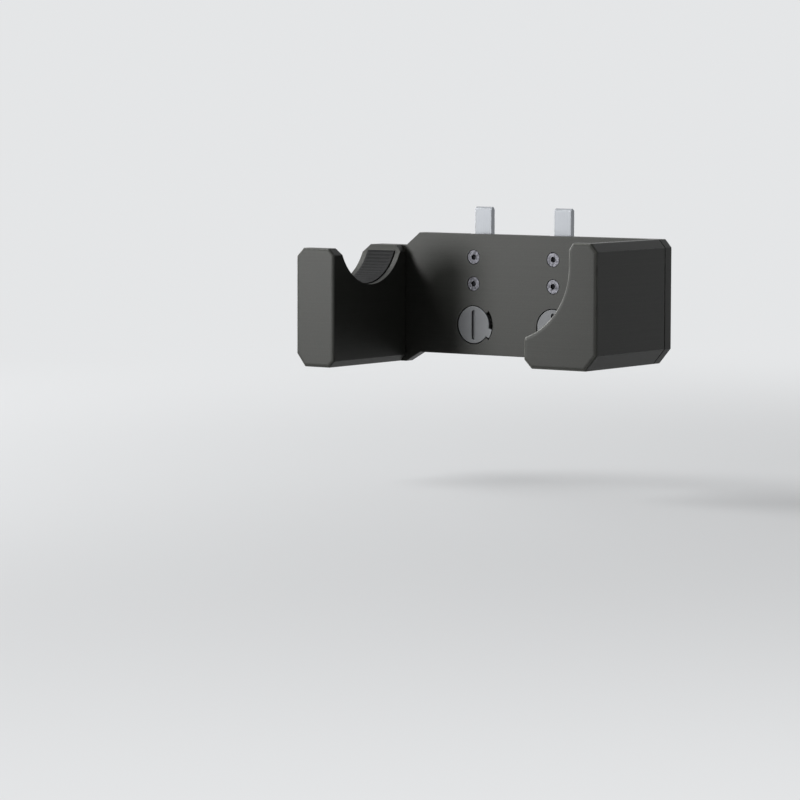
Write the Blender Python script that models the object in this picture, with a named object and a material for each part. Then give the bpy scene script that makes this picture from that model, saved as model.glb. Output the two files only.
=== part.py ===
"""Pegboard drill holder.

A wall plate hooks into two square holes of a perforated board and is locked in the two holes below
them. It carries a narrow cradle with a round notch for the nose of a drill, and a wide cradle with
a scoop and a pocket for its tail. Lengths are in metres. The origin is on the plate's back face, in
the middle of the square of four board holes. X runs to the right along the board, Y into the board
and Z up.
"""

import math

import bmesh
import bpy
from mathutils import Matrix, Vector

# The perforated board
PITCH = 0.038
HOLE_SIDE = 0.010
BOARD_THICKNESS = 0.0015

# Clearances
SEAM = 0.0003
SLIP = 0.0002
BOARD_PLAY = 0.0003
OVERRUN = 0.002

# The plate and the seats, from the board to the front
PLATE_THICKNESS = 0.005
SEAT_BACK_WALL = 0.0020
SEAT_RADIUS = 0.0217
SEAT_FRONT_WALL = 0.0038
FACE_BEVEL_WIDTH = 0.0016
FACE_BEVEL_DEPTH = 0.0011
PLATE_EDGE_BEVEL = 0.0006

# Nose cradle. Drops and feet are measured down from the upper and the lower row of holes.
NOSE_LEFT = -0.0707
NOSE_WIDTH = 0.0186
NOSE_DROP = 0.0067
NOSE_FOOT = 0.0160
NOSE_TOP_LEFT_CHAMFER = 0.0032
NOSE_RIGHT_CHAMFER = 0.0026
NOSE_BOTTOM_LEFT_CHAMFER_X = 0.0040
NOSE_BOTTOM_LEFT_CHAMFER_Z = 0.0052
NOSE_SCREW_UNDER_SEAT = 0.0037
NOSE_SCREW_OVER_FOOT = 0.0083

# Tail cradle
TAIL_RIGHT = 0.0709
TAIL_WIDTH = 0.0329
TAIL_DROP = 0.0015
TAIL_FOOT = 0.0120
TAIL_SEAT_DROP = 0.0045
TAIL_TOP_WALL = 0.01285
TAIL_END_WALL = 0.0052
TAIL_TOP_LEFT_CHAMFER_X = 0.0018
TAIL_TOP_LEFT_CHAMFER_Z = 0.0026
TAIL_TOP_RIGHT_CHAMFER_X = 0.0028
TAIL_TOP_RIGHT_CHAMFER_Z = 0.0032
TAIL_BOTTOM_RIGHT_CHAMFER_X = 0.0051
TAIL_BOTTOM_RIGHT_CHAMFER_Z = 0.0060
TAIL_BOTTOM_LEFT_CHAMFER = 0.0034
TAIL_LOBE_ROUND = 0.0018
SCOOP_RADIUS = 0.0291
SCOOP_DROP = 0.0089
TAIL_SCREW_UNDER_SEAT = 0.0034
TAIL_SCREW_FROM_RIGHT = 0.0075
TAIL_SCREW_FROM_LEFT = 0.0109
TAIL_SCREW_OVER_FOOT = 0.0061

# Liners
LINER_THICKNESS = 0.0020
LINER_PROUD = 0.0005
NOSE_LINER_LIP = 0.0026
NOSE_LINER_END_DEG = 25.0
TAIL_LINER_LIP = 0.0045
TAIL_LINER_START_DEG = 38.0
TAIL_LINER_END_DEG = 64.0

# Wall plate between the cradles
PLATE_STEP_RUN = 0.0065
PLATE_FOOT_RUN = 0.0070

# Hooks
HOOK_WIDTH = 0.0080
HOOK_STEEL = 0.0025
HOOK_LEG = 0.0220
HOOK_TIP_OVERLAP = 0.0042
HOOK_TIP_CHAMFER = 0.0008
HOOK_SCREW_DROPS = (0.0058, 0.0165)

# Hook screws
HOOK_SCREW_SHANK_R = 0.0015
HOOK_SCREW_HEAD_R = 0.0028
HOOK_SCREW_HEAD = 0.0015
HOOK_SCREW_RIM = 0.0002
HOOK_SCREW_SOCKET = 0.0020
HOOK_SCREW_SOCKET_DEPTH = 0.0010

# Cradle screws
CRADLE_SCREW_SHANK_R = 0.0020
CRADLE_SCREW_HEAD_R = 0.0039
CRADLE_SCREW_HEAD = 0.0022
CRADLE_SCREW_RIM = 0.0003
CRADLE_SCREW_LENGTH = 0.0120
CRADLE_SCREW_SOCKET = 0.0025
CRADLE_SCREW_SOCKET_DEPTH = 0.0015
TIP_CHAMFER = 0.0003
HEAD_INSET = 0.0001

# Threaded inserts
INSERT_R = 0.0030
INSERT_LENGTH = 0.0080
INSERT_GROOVE_DEPTH = 0.0004
INSERT_GROOVE_WIDTH = 0.0012
INSERT_POCKET_SPARE = 0.0012

# Locks
CAM_HEAD_R = 0.0075
CAM_HEAD = 0.0017
CAM_SQUARE = 0.0060
CAM_TAB_REACH = 0.0016
CAM_TAB_HALF_DEG = 12.0
CAM_TAB_FLANK_DEG = 2.0
CAM_SLOT_WIDTH = 0.0018
CAM_SLOT_LENGTH = 0.0118
CAM_SLOT_DEPTH = 0.0009
LOCK_TURN_DEG = 45.0
WASHER_STEEL = 0.0003
WASHER_WAVE = 0.0001
WASHER_WAVES = 3
DOG_THICKNESS = 0.0027
DOG_CORNER = 0.0005
DOG_BOARD_GAP = 0.0006
LOCK_SCREW_SHANK_R = 0.0015
LOCK_SCREW_HEAD_R = 0.0042
LOCK_SCREW_HEAD = 0.0020
LOCK_SCREW_HEAD_ROUND = 0.0007
LOCK_SCREW_LENGTH = 0.0060
LOCK_SCREW_SOCKET = 0.0025
LOCK_SCREW_SOCKET_DEPTH = 0.0012

# How finely round shapes are drawn
SCREW_SIDES = 18
INSERT_SIDES = 12
BORE_SIDES = 24
ARC_STEPS = 14
CORNER_STEPS = 4
SEAT_STEPS = 26
BEVEL_STEPS = 2
WASHER_STEPS = 36

# Places worked out from the sizes above
UPPER_ROW_Z = PITCH / 2
LOWER_ROW_Z = -PITCH / 2
COLUMNS = {"left": -PITCH / 2, "right": PITCH / 2}
PLATE_FRONT_Y = -PLATE_THICKNESS
CRADLE_BACK_Y = PLATE_FRONT_Y - SEAM
SEAT_CENTRE_Y = CRADLE_BACK_Y - SEAT_BACK_WALL - SEAT_RADIUS
FRONT_Y = SEAT_CENTRE_Y - SEAT_RADIUS - SEAT_FRONT_WALL
NOSE_RIGHT = NOSE_LEFT + NOSE_WIDTH
NOSE_TOP = UPPER_ROW_Z - NOSE_DROP
NOSE_BOTTOM = LOWER_ROW_Z - NOSE_FOOT
NOSE_SEAT_Z = UPPER_ROW_Z
TAIL_LEFT = TAIL_RIGHT - TAIL_WIDTH
TAIL_TOP = UPPER_ROW_Z - TAIL_DROP
TAIL_BOTTOM = LOWER_ROW_Z - TAIL_FOOT
TAIL_SEAT_Z = UPPER_ROW_Z - TAIL_SEAT_DROP
SCOOP_CENTRE_X = TAIL_RIGHT - TAIL_TOP_WALL - SCOOP_RADIUS
SCOOP_CENTRE_Z = TAIL_TOP - SCOOP_DROP
HOOK_NECK_Z = UPPER_ROW_Z - HOLE_SIDE / 2
HOOK_TIP_Y = BOARD_THICKNESS + BOARD_PLAY
CAM_SHANK_R = HOLE_SIDE / 2 - BOARD_PLAY
DOG_SIDE = HOLE_SIDE - 2 * BOARD_PLAY
WASHER_SPACE = WASHER_STEEL + 2 * WASHER_WAVE + 2 * SLIP


def clear_scene():
    for old in list(bpy.data.objects):
        bpy.data.objects.remove(old, do_unlink=True)


def make_material(name, colour, roughness, metallic):
    made = bpy.data.materials.new(name)
    made.use_nodes = True
    shader = made.node_tree.nodes["Principled BSDF"]
    shader.inputs["Base Color"].default_value = (*colour, 1.0)
    shader.inputs["Roughness"].default_value = roughness
    shader.inputs["Metallic"].default_value = metallic
    made.diffuse_color = (*colour, 1.0)
    return made


def loft(rings, closed=False):
    """A solid through rings of equally many points. The ends are capped, or joined where closed."""
    shape = bmesh.new()
    rows = [[shape.verts.new(point) for point in ring] for ring in rings]
    count = len(rows[0])
    pairs = list(zip(rows, rows[1:]))
    if closed:
        pairs.append((rows[-1], rows[0]))
    for low, high in pairs:
        for i in range(count):
            j = (i + 1) % count
            shape.faces.new((low[i], low[j], high[j], high[i]))
    if not closed:
        shape.faces.new(rows[0][::-1])
        shape.faces.new(rows[-1])
    bmesh.ops.recalc_face_normals(shape, faces=shape.faces)
    return shape


def add_piece(name, shape, material, parent=None, place=(0.0, 0.0, 0.0), sharp_deg=35.0):
    """Makes the named object from a bmesh, shaded smooth between sharp edges."""
    mesh = bpy.data.meshes.new(name)
    shape.to_mesh(mesh)
    shape.free()
    mesh.shade_smooth()
    mesh.set_sharp_from_angle(angle=math.radians(sharp_deg))
    piece = bpy.data.objects.new(name, mesh)
    bpy.context.scene.collection.objects.link(piece)
    piece.location = place
    piece.parent = parent
    if material is not None:
        mesh.materials.append(material)
    return piece


def cut(piece, name, shape):
    """Takes the shape out of the piece with a Boolean."""
    cutter = add_piece(f"{piece.name}_{name}", shape, None)
    cutter.display_type = "WIRE"
    cutter.hide_render = True
    boolean = piece.modifiers.new(name, "BOOLEAN")
    boolean.operation = "DIFFERENCE"
    boolean.solver = "EXACT"
    boolean.object = cutter


def ring_xz(points, y):
    """Points given as (x, z) on the plane at y."""
    return [Vector((x, y, z)) for x, z in points]


def around(centre, radius, angle):
    """The point at an angle, from +X towards +Z, on the circle round the centre."""
    return (centre[0] + radius * math.cos(angle), centre[1] + radius * math.sin(angle))


def circle(radius, sides, centre=(0.0, 0.0)):
    return [around(centre, radius, 2 * math.pi * i / sides) for i in range(sides)]


def polygon_radius(across_flats, corners, angle):
    """Distance from the centre to a regular polygon's side. A corner lies at angle zero."""
    step = 2 * math.pi / corners
    off = (angle % step) - step / 2
    return across_flats / 2 / math.cos(off)


def polygon(across_flats, corners, sides, centre=(0.0, 0.0)):
    """A regular polygon drawn with as many points as the circle that it joins."""
    points = []
    for i in range(sides):
        angle = 2 * math.pi * i / sides
        points.append(around(centre, polygon_radius(across_flats, corners, angle), angle))
    return points


def arc(centre, radius, start_deg, end_deg, steps):
    angles = [math.radians(start_deg + (end_deg - start_deg) * i / steps) for i in range(steps + 1)]
    return [around(centre, radius, angle) for angle in angles]


def area(outline):
    total = 0.0
    for (x1, z1), (x2, z2) in zip(outline, outline[1:] + outline[:1]):
        total += x1 * z2 - x2 * z1
    return total / 2


def inset(outline, distance):
    """The outline with each side moved inwards by the distance."""
    turn = 1 if area(outline) > 0 else -1
    count = len(outline)
    moved = []
    for i in range(count):
        before = Vector(outline[i - 1])
        here = Vector(outline[i])
        after = Vector(outline[(i + 1) % count])
        first = (here - before).normalized()
        second = (after - here).normalized()
        first_in = Vector((-first.y, first.x)) * turn
        second_in = Vector((-second.y, second.x)) * turn
        middle = (first_in + second_in).normalized()
        moved.append(tuple(here + middle * (distance / middle.dot(first_in))))
    return moved


def bevelled_block(outline, front_y, back_y):
    """The outline run from front to back, with its front edge rolled over on a quarter ellipse."""
    rings = []
    for i in range(BEVEL_STEPS + 1):
        angle = math.pi / 2 * i / BEVEL_STEPS
        narrower = inset(outline, FACE_BEVEL_WIDTH * (1 - math.sin(angle)))
        rings.append(ring_xz(narrower, front_y + FACE_BEVEL_DEPTH * (1 - math.cos(angle))))
    rings.append(ring_xz(outline, back_y))
    return loft(rings)


def bar_along_x(profile, x_from, x_to):
    """A solid with a profile of (y, z) points, run along X."""
    return loft([[Vector((x, y, z)) for y, z in profile] for x in (x_from, x_to)])


def block(low, high):
    """A box between its lowest and highest corners."""
    corners = [(low[0], low[1]), (high[0], low[1]), (high[0], high[1]), (low[0], high[1])]
    return loft([[Vector((x, y, z)) for x, y in corners] for z in (low[2], high[2])])


def bore(centre, radius, y_from, y_to, sides=BORE_SIDES):
    """A straight round cutter along Y."""
    return loft([ring_xz(circle(radius, sides, centre), y) for y in (y_from, y_to)])


def nose_outline():
    left, right, top, bottom = NOSE_LEFT, NOSE_RIGHT, NOSE_TOP, NOSE_BOTTOM
    return [
        (left, bottom + NOSE_BOTTOM_LEFT_CHAMFER_Z),
        (left + NOSE_BOTTOM_LEFT_CHAMFER_X, bottom),
        (right - NOSE_RIGHT_CHAMFER, bottom),
        (right, bottom + NOSE_RIGHT_CHAMFER),
        (right, top - NOSE_RIGHT_CHAMFER),
        (right - NOSE_RIGHT_CHAMFER, top),
        (left + NOSE_TOP_LEFT_CHAMFER, top),
        (left, top - NOSE_TOP_LEFT_CHAMFER),
    ]


def scoop_and_lobe():
    """The scoop's arc, down from the upright wall, and the lobe's round corner that runs on from it."""
    corner_x = TAIL_LEFT + TAIL_LOBE_ROUND
    reach = SCOOP_RADIUS + TAIL_LOBE_ROUND
    turn = math.degrees(math.acos((corner_x - SCOOP_CENTRE_X) / reach))
    corner_z = SCOOP_CENTRE_Z - reach * math.sin(math.radians(turn))
    scoop = arc((SCOOP_CENTRE_X, SCOOP_CENTRE_Z), SCOOP_RADIUS, 0.0, -turn, ARC_STEPS)
    corner = arc((corner_x, corner_z), TAIL_LOBE_ROUND, 180.0 - turn, 180.0, CORNER_STEPS)
    return scoop + corner[1:]


def tail_outline():
    left, right, top, bottom = TAIL_LEFT, TAIL_RIGHT, TAIL_TOP, TAIL_BOTTOM
    inner_wall = right - TAIL_TOP_WALL
    return [
        (left, bottom + TAIL_BOTTOM_LEFT_CHAMFER),
        (left + TAIL_BOTTOM_LEFT_CHAMFER, bottom),
        (right - TAIL_BOTTOM_RIGHT_CHAMFER_X, bottom),
        (right, bottom + TAIL_BOTTOM_RIGHT_CHAMFER_Z),
        (right, top - TAIL_TOP_RIGHT_CHAMFER_Z),
        (right - TAIL_TOP_RIGHT_CHAMFER_X, top),
        (inner_wall + TAIL_TOP_LEFT_CHAMFER_X, top),
        (inner_wall, top - TAIL_TOP_LEFT_CHAMFER_Z),
        *scoop_and_lobe(),
    ]


def plate_outline():
    step_x = NOSE_RIGHT + PLATE_STEP_RUN
    foot_x = NOSE_RIGHT + PLATE_FOOT_RUN
    return [
        (NOSE_LEFT, NOSE_BOTTOM + NOSE_BOTTOM_LEFT_CHAMFER_Z),
        (NOSE_LEFT + NOSE_BOTTOM_LEFT_CHAMFER_X, NOSE_BOTTOM),
        (NOSE_RIGHT, NOSE_BOTTOM),
        (foot_x, TAIL_BOTTOM),
        (TAIL_RIGHT - TAIL_BOTTOM_RIGHT_CHAMFER_X, TAIL_BOTTOM),
        (TAIL_RIGHT, TAIL_BOTTOM + TAIL_BOTTOM_RIGHT_CHAMFER_Z),
        (TAIL_RIGHT, TAIL_TOP - TAIL_TOP_RIGHT_CHAMFER_Z),
        (TAIL_RIGHT - TAIL_TOP_RIGHT_CHAMFER_X, TAIL_TOP),
        (step_x, TAIL_TOP),
        (NOSE_RIGHT, NOSE_TOP),
        (NOSE_LEFT + NOSE_TOP_LEFT_CHAMFER, NOSE_TOP),
        (NOSE_LEFT, NOSE_TOP - NOSE_TOP_LEFT_CHAMFER),
    ]


def trough_profile(centre_z, top_z):
    """A round-bottomed trough as (y, z) points, with straight sides up to top_z."""
    half = arc((SEAT_CENTRE_Y, centre_z), SEAT_RADIUS, 180.0, 360.0, SEAT_STEPS)
    return [(SEAT_CENTRE_Y - SEAT_RADIUS, top_z), *half, (SEAT_CENTRE_Y + SEAT_RADIUS, top_z)]


def strip_profile(centre, inner, outer, start_deg, end_deg, steps):
    """A curved strip between two radii."""
    near = arc(centre, inner, start_deg, end_deg, steps)
    far = arc(centre, outer, start_deg, end_deg, steps)
    return near + far[::-1]


def screw_places():
    """Centres of the four cradle screws, two in each cradle."""
    nose_middle = NOSE_LEFT + NOSE_WIDTH / 2
    nose_seat = NOSE_SEAT_Z - SEAT_RADIUS
    tail_seat = TAIL_SEAT_Z - SEAT_RADIUS
    nose = [
        (nose_middle, nose_seat - NOSE_SCREW_UNDER_SEAT),
        (nose_middle, NOSE_BOTTOM + NOSE_SCREW_OVER_FOOT),
    ]
    tail = [
        (TAIL_RIGHT - TAIL_SCREW_FROM_RIGHT, tail_seat - TAIL_SCREW_UNDER_SEAT),
        (TAIL_LEFT + TAIL_SCREW_FROM_LEFT, TAIL_BOTTOM + TAIL_SCREW_OVER_FOOT),
    ]
    return nose, tail


def pocket_for_insert(cradle, name, centre):
    depth = INSERT_LENGTH + INSERT_POCKET_SPARE
    hole = bore(centre, INSERT_R + SLIP, CRADLE_BACK_Y + OVERRUN, CRADLE_BACK_Y - depth, INSERT_SIDES)
    cut(cradle, name, hole)


def nose_cradle(plastic, places):
    cradle = add_piece("nose_cradle", bevelled_block(nose_outline(), FRONT_Y, CRADLE_BACK_Y), plastic)
    profile = trough_profile(NOSE_SEAT_Z, NOSE_SEAT_Z + OVERRUN)
    seat = bar_along_x(profile, NOSE_LEFT - OVERRUN, NOSE_RIGHT + OVERRUN)
    cut(cradle, "seat", seat)
    deep = SEAT_RADIUS + LINER_THICKNESS - LINER_PROUD + SLIP
    slack = math.degrees(SLIP / SEAT_RADIUS)
    start = 180.0 + NOSE_LINER_END_DEG - slack
    end = 360.0 - NOSE_LINER_END_DEG + slack
    centre = (SEAT_CENTRE_Y, NOSE_SEAT_Z)
    groove = strip_profile(centre, SEAT_RADIUS - OVERRUN, deep, start, end, SEAT_STEPS)
    groove_left = NOSE_LEFT + NOSE_LINER_LIP - SLIP
    groove_right = NOSE_RIGHT - NOSE_LINER_LIP + SLIP
    cut(cradle, "liner_groove", bar_along_x(groove, groove_left, groove_right))
    for number, centre in enumerate(places, 1):
        pocket_for_insert(cradle, f"insert_pocket_{number}", centre)


def nose_liner(rubber):
    inner = SEAT_RADIUS - LINER_PROUD
    centre = (SEAT_CENTRE_Y, NOSE_SEAT_Z)
    start = 180.0 + NOSE_LINER_END_DEG
    end = 360.0 - NOSE_LINER_END_DEG
    strip = strip_profile(centre, inner, inner + LINER_THICKNESS, start, end, SEAT_STEPS)
    liner = bar_along_x(strip, NOSE_LEFT + NOSE_LINER_LIP, NOSE_RIGHT - NOSE_LINER_LIP)
    add_piece("nose_liner", liner, rubber)


def tail_liner_block(inner, outer, slack):
    """The tail liner's strip along the scoop, or its groove, which is larger by the slack."""
    centre = (SCOOP_CENTRE_X, SCOOP_CENTRE_Z)
    spare = math.degrees(slack / SCOOP_RADIUS)
    start = -TAIL_LINER_END_DEG - spare
    end = -TAIL_LINER_START_DEG + spare
    strip = strip_profile(centre, inner, outer, start, end, ARC_STEPS)
    front = FRONT_Y + TAIL_LINER_LIP - slack
    back = CRADLE_BACK_Y - TAIL_LINER_LIP + slack
    return loft([ring_xz(strip, y) for y in (front, back)])


def tail_cradle(plastic, places):
    cradle = add_piece("tail_cradle", bevelled_block(tail_outline(), FRONT_Y, CRADLE_BACK_Y), plastic)
    profile = trough_profile(TAIL_SEAT_Z, TAIL_TOP + OVERRUN)
    cut(cradle, "pocket", bar_along_x(profile, SCOOP_CENTRE_X, TAIL_RIGHT - TAIL_END_WALL))
    deep = SCOOP_RADIUS + LINER_THICKNESS - LINER_PROUD + SLIP
    cut(cradle, "liner_groove", tail_liner_block(SCOOP_RADIUS - OVERRUN, deep, SLIP))
    for number, centre in enumerate(places, 1):
        pocket_for_insert(cradle, f"insert_pocket_{number}", centre)


def tail_liner(rubber):
    inner = SCOOP_RADIUS - LINER_PROUD
    add_piece("tail_liner", tail_liner_block(inner, inner + LINER_THICKNESS, 0.0), rubber)


def countersunk_screw(head_r, head, rim, shank_r, length, socket, socket_depth, way):
    """A countersunk screw on the Y axis. Its head's face is at zero, and it points along way times Y."""
    rings = [
        (polygon(socket, 6, SCREW_SIDES), socket_depth),
        (polygon(socket, 6, SCREW_SIDES), 0.0),
        (circle(head_r, SCREW_SIDES), 0.0),
        (circle(head_r, SCREW_SIDES), rim),
        (circle(shank_r, SCREW_SIDES), head),
        (circle(shank_r, SCREW_SIDES), length - TIP_CHAMFER),
        (circle(shank_r - TIP_CHAMFER, SCREW_SIDES), length),
    ]
    return loft([ring_xz(points, way * y) for points, y in rings])


def countersink(centre, head_r, head, rim, shank_r, face_y, way, far_y):
    """The hole for a countersunk screw whose head's face is at face_y."""
    wide = circle(head_r + SLIP, BORE_SIDES, centre)
    narrow = circle(shank_r + SLIP, BORE_SIDES, centre)
    rings = [
        (wide, face_y - way * OVERRUN),
        (wide, face_y + way * (rim + SLIP)),
        (narrow, face_y + way * (head + SLIP)),
        (narrow, far_y),
    ]
    return loft([ring_xz(points, y) for points, y in rings])


def cradle_screws(steel, places):
    face_y = -HEAD_INSET
    for number, (x, z) in enumerate(places, 1):
        shape = countersunk_screw(
            CRADLE_SCREW_HEAD_R,
            CRADLE_SCREW_HEAD,
            CRADLE_SCREW_RIM,
            CRADLE_SCREW_SHANK_R,
            CRADLE_SCREW_LENGTH,
            CRADLE_SCREW_SOCKET,
            CRADLE_SCREW_SOCKET_DEPTH,
            -1,
        )
        add_piece(f"cradle_screw_{number}", shape, steel, place=(x, face_y, z))


def cradle_inserts(brass, places):
    """Ring-shaped inserts with two grooves, which the plastic fills."""
    hole = CRADLE_SCREW_SHANK_R + SLIP
    low = INSERT_R - INSERT_GROOVE_DEPTH
    band = (INSERT_LENGTH - 2 * INSERT_GROOVE_WIDTH) / 3
    profile = [(hole, 0.0), (INSERT_R, 0.0)]
    for groove in range(2):
        start = band + groove * (band + INSERT_GROOVE_WIDTH)
        end = start + INSERT_GROOVE_WIDTH
        profile += [(INSERT_R, start), (low, start), (low, end), (INSERT_R, end)]
    profile += [(INSERT_R, INSERT_LENGTH), (hole, INSERT_LENGTH)]
    face_y = CRADLE_BACK_Y - SLIP
    for number, (x, z) in enumerate(places, 1):
        rings = [ring_xz(circle(radius, INSERT_SIDES), -y) for radius, y in profile]
        add_piece(f"cradle_insert_{number}", loft(rings, closed=True), brass, place=(x, face_y, z))


def hook_profile():
    """The bent strip from the side, as (y, z) points: leg, neck through the board, and upturned tip."""
    steel = HOOK_STEEL
    neck_top = HOOK_NECK_Z + steel
    tip_front = HOOK_TIP_Y
    tip_top = UPPER_ROW_Z + HOLE_SIDE / 2 + HOOK_TIP_OVERLAP
    leg_bottom = HOOK_NECK_Z - HOOK_LEG
    chamfer = HOOK_TIP_CHAMFER
    return [
        (0.0, leg_bottom),
        (0.0, HOOK_NECK_Z),
        (tip_front, HOOK_NECK_Z),
        *arc((tip_front, neck_top), steel, 270.0, 360.0, CORNER_STEPS)[1:],
        (tip_front + steel, tip_top - chamfer),
        (tip_front + steel - chamfer, tip_top),
        (tip_front + chamfer, tip_top),
        (tip_front, tip_top - chamfer),
        (tip_front, neck_top),
        *arc((0.0, HOOK_NECK_Z), steel, 90.0, 180.0, CORNER_STEPS),
        (-steel, leg_bottom),
    ]


def hooks(steel):
    for side, x in COLUMNS.items():
        strip = bar_along_x(hook_profile(), x - HOOK_WIDTH / 2, x + HOOK_WIDTH / 2)
        hook = add_piece(f"hook_{side}", strip, steel)
        for number, drop in enumerate(HOOK_SCREW_DROPS, 1):
            centre = (x, HOOK_NECK_Z - drop)
            hole = bore(centre, HOOK_SCREW_SHANK_R + SLIP, -HOOK_STEEL - OVERRUN, OVERRUN, SCREW_SIDES)
            cut(hook, f"tapped_hole_{number}", hole)


def hook_recess(x):
    """The recess in the plate's back that takes a hook's leg. It is open at the plate's top edge."""
    half = HOOK_WIDTH / 2 + SEAM
    deep = -HOOK_STEEL - SEAM
    bottom = HOOK_NECK_Z - HOOK_LEG - SEAM
    top = TAIL_TOP + OVERRUN
    profile = [(OVERRUN, bottom), (OVERRUN, top), (deep, top), (deep, bottom)]
    return bar_along_x(profile, x - half, x + half)


def hook_screws(steel):
    face_y = PLATE_FRONT_Y + HEAD_INSET
    length = -SEAM - face_y
    number = 0
    for x in COLUMNS.values():
        for drop in HOOK_SCREW_DROPS:
            number += 1
            shape = countersunk_screw(
                HOOK_SCREW_HEAD_R,
                HOOK_SCREW_HEAD,
                HOOK_SCREW_RIM,
                HOOK_SCREW_SHANK_R,
                length,
                HOOK_SCREW_SOCKET,
                HOOK_SCREW_SOCKET_DEPTH,
                1,
            )
            add_piece(f"hook_screw_{number}", shape, steel, place=(x, face_y, HOOK_NECK_Z - drop))


def lock_angles():
    """Directions of the points round a cam, in degrees, with those that its stop tab needs."""
    tab = -LOCK_TURN_DEG / 2
    flanks = [CAM_TAB_HALF_DEG, CAM_TAB_HALF_DEG + CAM_TAB_FLANK_DEG]
    regular = [360.0 * i / BORE_SIDES for i in range(BORE_SIDES)]
    extra = [(tab + side * flank) % 360.0 for side in (-1, 1) for flank in flanks]
    least = CAM_TAB_FLANK_DEG / 2
    kept = [angle for angle in regular if all(abs(angle - other) > least for other in extra)]
    return sorted(kept + extra)


def radial_ring(radius_at, y, angles):
    ring = []
    for angle in angles:
        radius = radius_at(angle)
        turn = math.radians(angle)
        ring.append(Vector((radius * math.cos(turn), y, radius * math.sin(turn))))
    return ring


def tab_radius(angle):
    """The cam head's radius, which grows at the stop tab."""
    off = abs((angle + LOCK_TURN_DEG / 2 + 180.0) % 360.0 - 180.0)
    on_tab = off < CAM_TAB_HALF_DEG + CAM_TAB_FLANK_DEG / 2
    return CAM_HEAD_R + (CAM_TAB_REACH if on_tab else 0.0)


def square_radius(angle):
    """Half of the cam's square end, turned so that its corners point along X and Z."""
    return polygon_radius(CAM_SQUARE, 4, math.radians(angle))


def lock_levels():
    """Places along Y of the cam's head, shoulder and end, and of the dog and the screw's head."""
    head_front = PLATE_FRONT_Y + HEAD_INSET
    dog_front = BOARD_THICKNESS + DOG_BOARD_GAP
    dog_back = dog_front + DOG_THICKNESS
    return {
        "head_front": head_front,
        "head_back": head_front + CAM_HEAD,
        "counterbore": head_front + CAM_HEAD + WASHER_SPACE,
        "shoulder": dog_front - SLIP,
        "dog_front": dog_front,
        "dog_back": dog_back,
        "cam_end": dog_back - SLIP,
        "screw_face": dog_back + SLIP,
    }


def lock_cam(side, metal, axle):
    level = lock_levels()
    angles = lock_angles()
    hole = LOCK_SCREW_SHANK_R + SLIP
    hole_end = level["screw_face"] - LOCK_SCREW_LENGTH - SEAM
    edge = TIP_CHAMFER
    rings = [
        radial_ring(lambda angle: tab_radius(angle) - edge, level["head_front"], angles),
        radial_ring(tab_radius, level["head_front"] + edge, angles),
        radial_ring(tab_radius, level["head_back"], angles),
        radial_ring(lambda angle: CAM_SHANK_R, level["head_back"], angles),
        radial_ring(lambda angle: CAM_SHANK_R, level["shoulder"], angles),
        radial_ring(square_radius, level["shoulder"], angles),
        radial_ring(square_radius, level["cam_end"], angles),
        radial_ring(lambda angle: hole, level["cam_end"], angles),
        radial_ring(lambda angle: hole, hole_end, angles),
    ]
    cam = add_piece(f"lock_cam_{side}", loft(rings), metal, parent=axle)
    centre = axle.location
    half = Vector((CAM_SLOT_WIDTH / 2, 0.0, CAM_SLOT_LENGTH / 2))
    low = centre - half + Vector((0.0, level["head_front"] - OVERRUN, 0.0))
    high = centre + half + Vector((0.0, level["head_front"] + CAM_SLOT_DEPTH, 0.0))
    cut(cam, "coin_slot", block(low, high))


def square_with_cut_corners(across_flats, corner_cut):
    """A square with a corner along each axis, and its corners cut off by the given amount."""
    corner = across_flats / math.sqrt(2)
    points = []
    for quarter in range(4):
        spin = Matrix.Rotation(math.radians(90.0 * quarter), 2)
        points += [spin @ Vector((corner - corner_cut, side * corner_cut)) for side in (-1, 1)]
    return points


def lock_dog(side, metal, axle):
    """A square dog. Its corners stand over the sides of the board's hole while it is locked."""
    level = lock_levels()
    outer = square_with_cut_corners(DOG_SIDE, DOG_CORNER)
    inner = square_with_cut_corners(CAM_SQUARE + 2 * SLIP, SLIP)
    front, back = level["dog_front"], level["dog_back"]
    loops = ((outer, front), (outer, back), (inner, back), (inner, front))
    rings = [ring_xz(points, y) for points, y in loops]
    add_piece(f"lock_dog_{side}", loft(rings, closed=True), metal, parent=axle)


def lock_screw(side, steel, axle):
    """A flanged socket screw from the back, which holds the dog on the cam's square end."""
    socket = polygon(LOCK_SCREW_SOCKET, 6, SCREW_SIDES)
    top = LOCK_SCREW_HEAD
    rounded = LOCK_SCREW_HEAD_ROUND
    rings = [
        (socket, top - LOCK_SCREW_SOCKET_DEPTH),
        (socket, top),
        (circle(LOCK_SCREW_HEAD_R - rounded, SCREW_SIDES), top),
        (circle(LOCK_SCREW_HEAD_R, SCREW_SIDES), top - rounded),
        (circle(LOCK_SCREW_HEAD_R, SCREW_SIDES), 0.0),
        (circle(LOCK_SCREW_SHANK_R, SCREW_SIDES), 0.0),
        (circle(LOCK_SCREW_SHANK_R, SCREW_SIDES), TIP_CHAMFER - LOCK_SCREW_LENGTH),
        (circle(LOCK_SCREW_SHANK_R - TIP_CHAMFER, SCREW_SIDES), -LOCK_SCREW_LENGTH),
    ]
    face_y = lock_levels()["screw_face"]
    shape = loft([ring_xz(points, face_y + y) for points, y in rings])
    add_piece(f"lock_screw_{side}", shape, steel, parent=axle)


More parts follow.
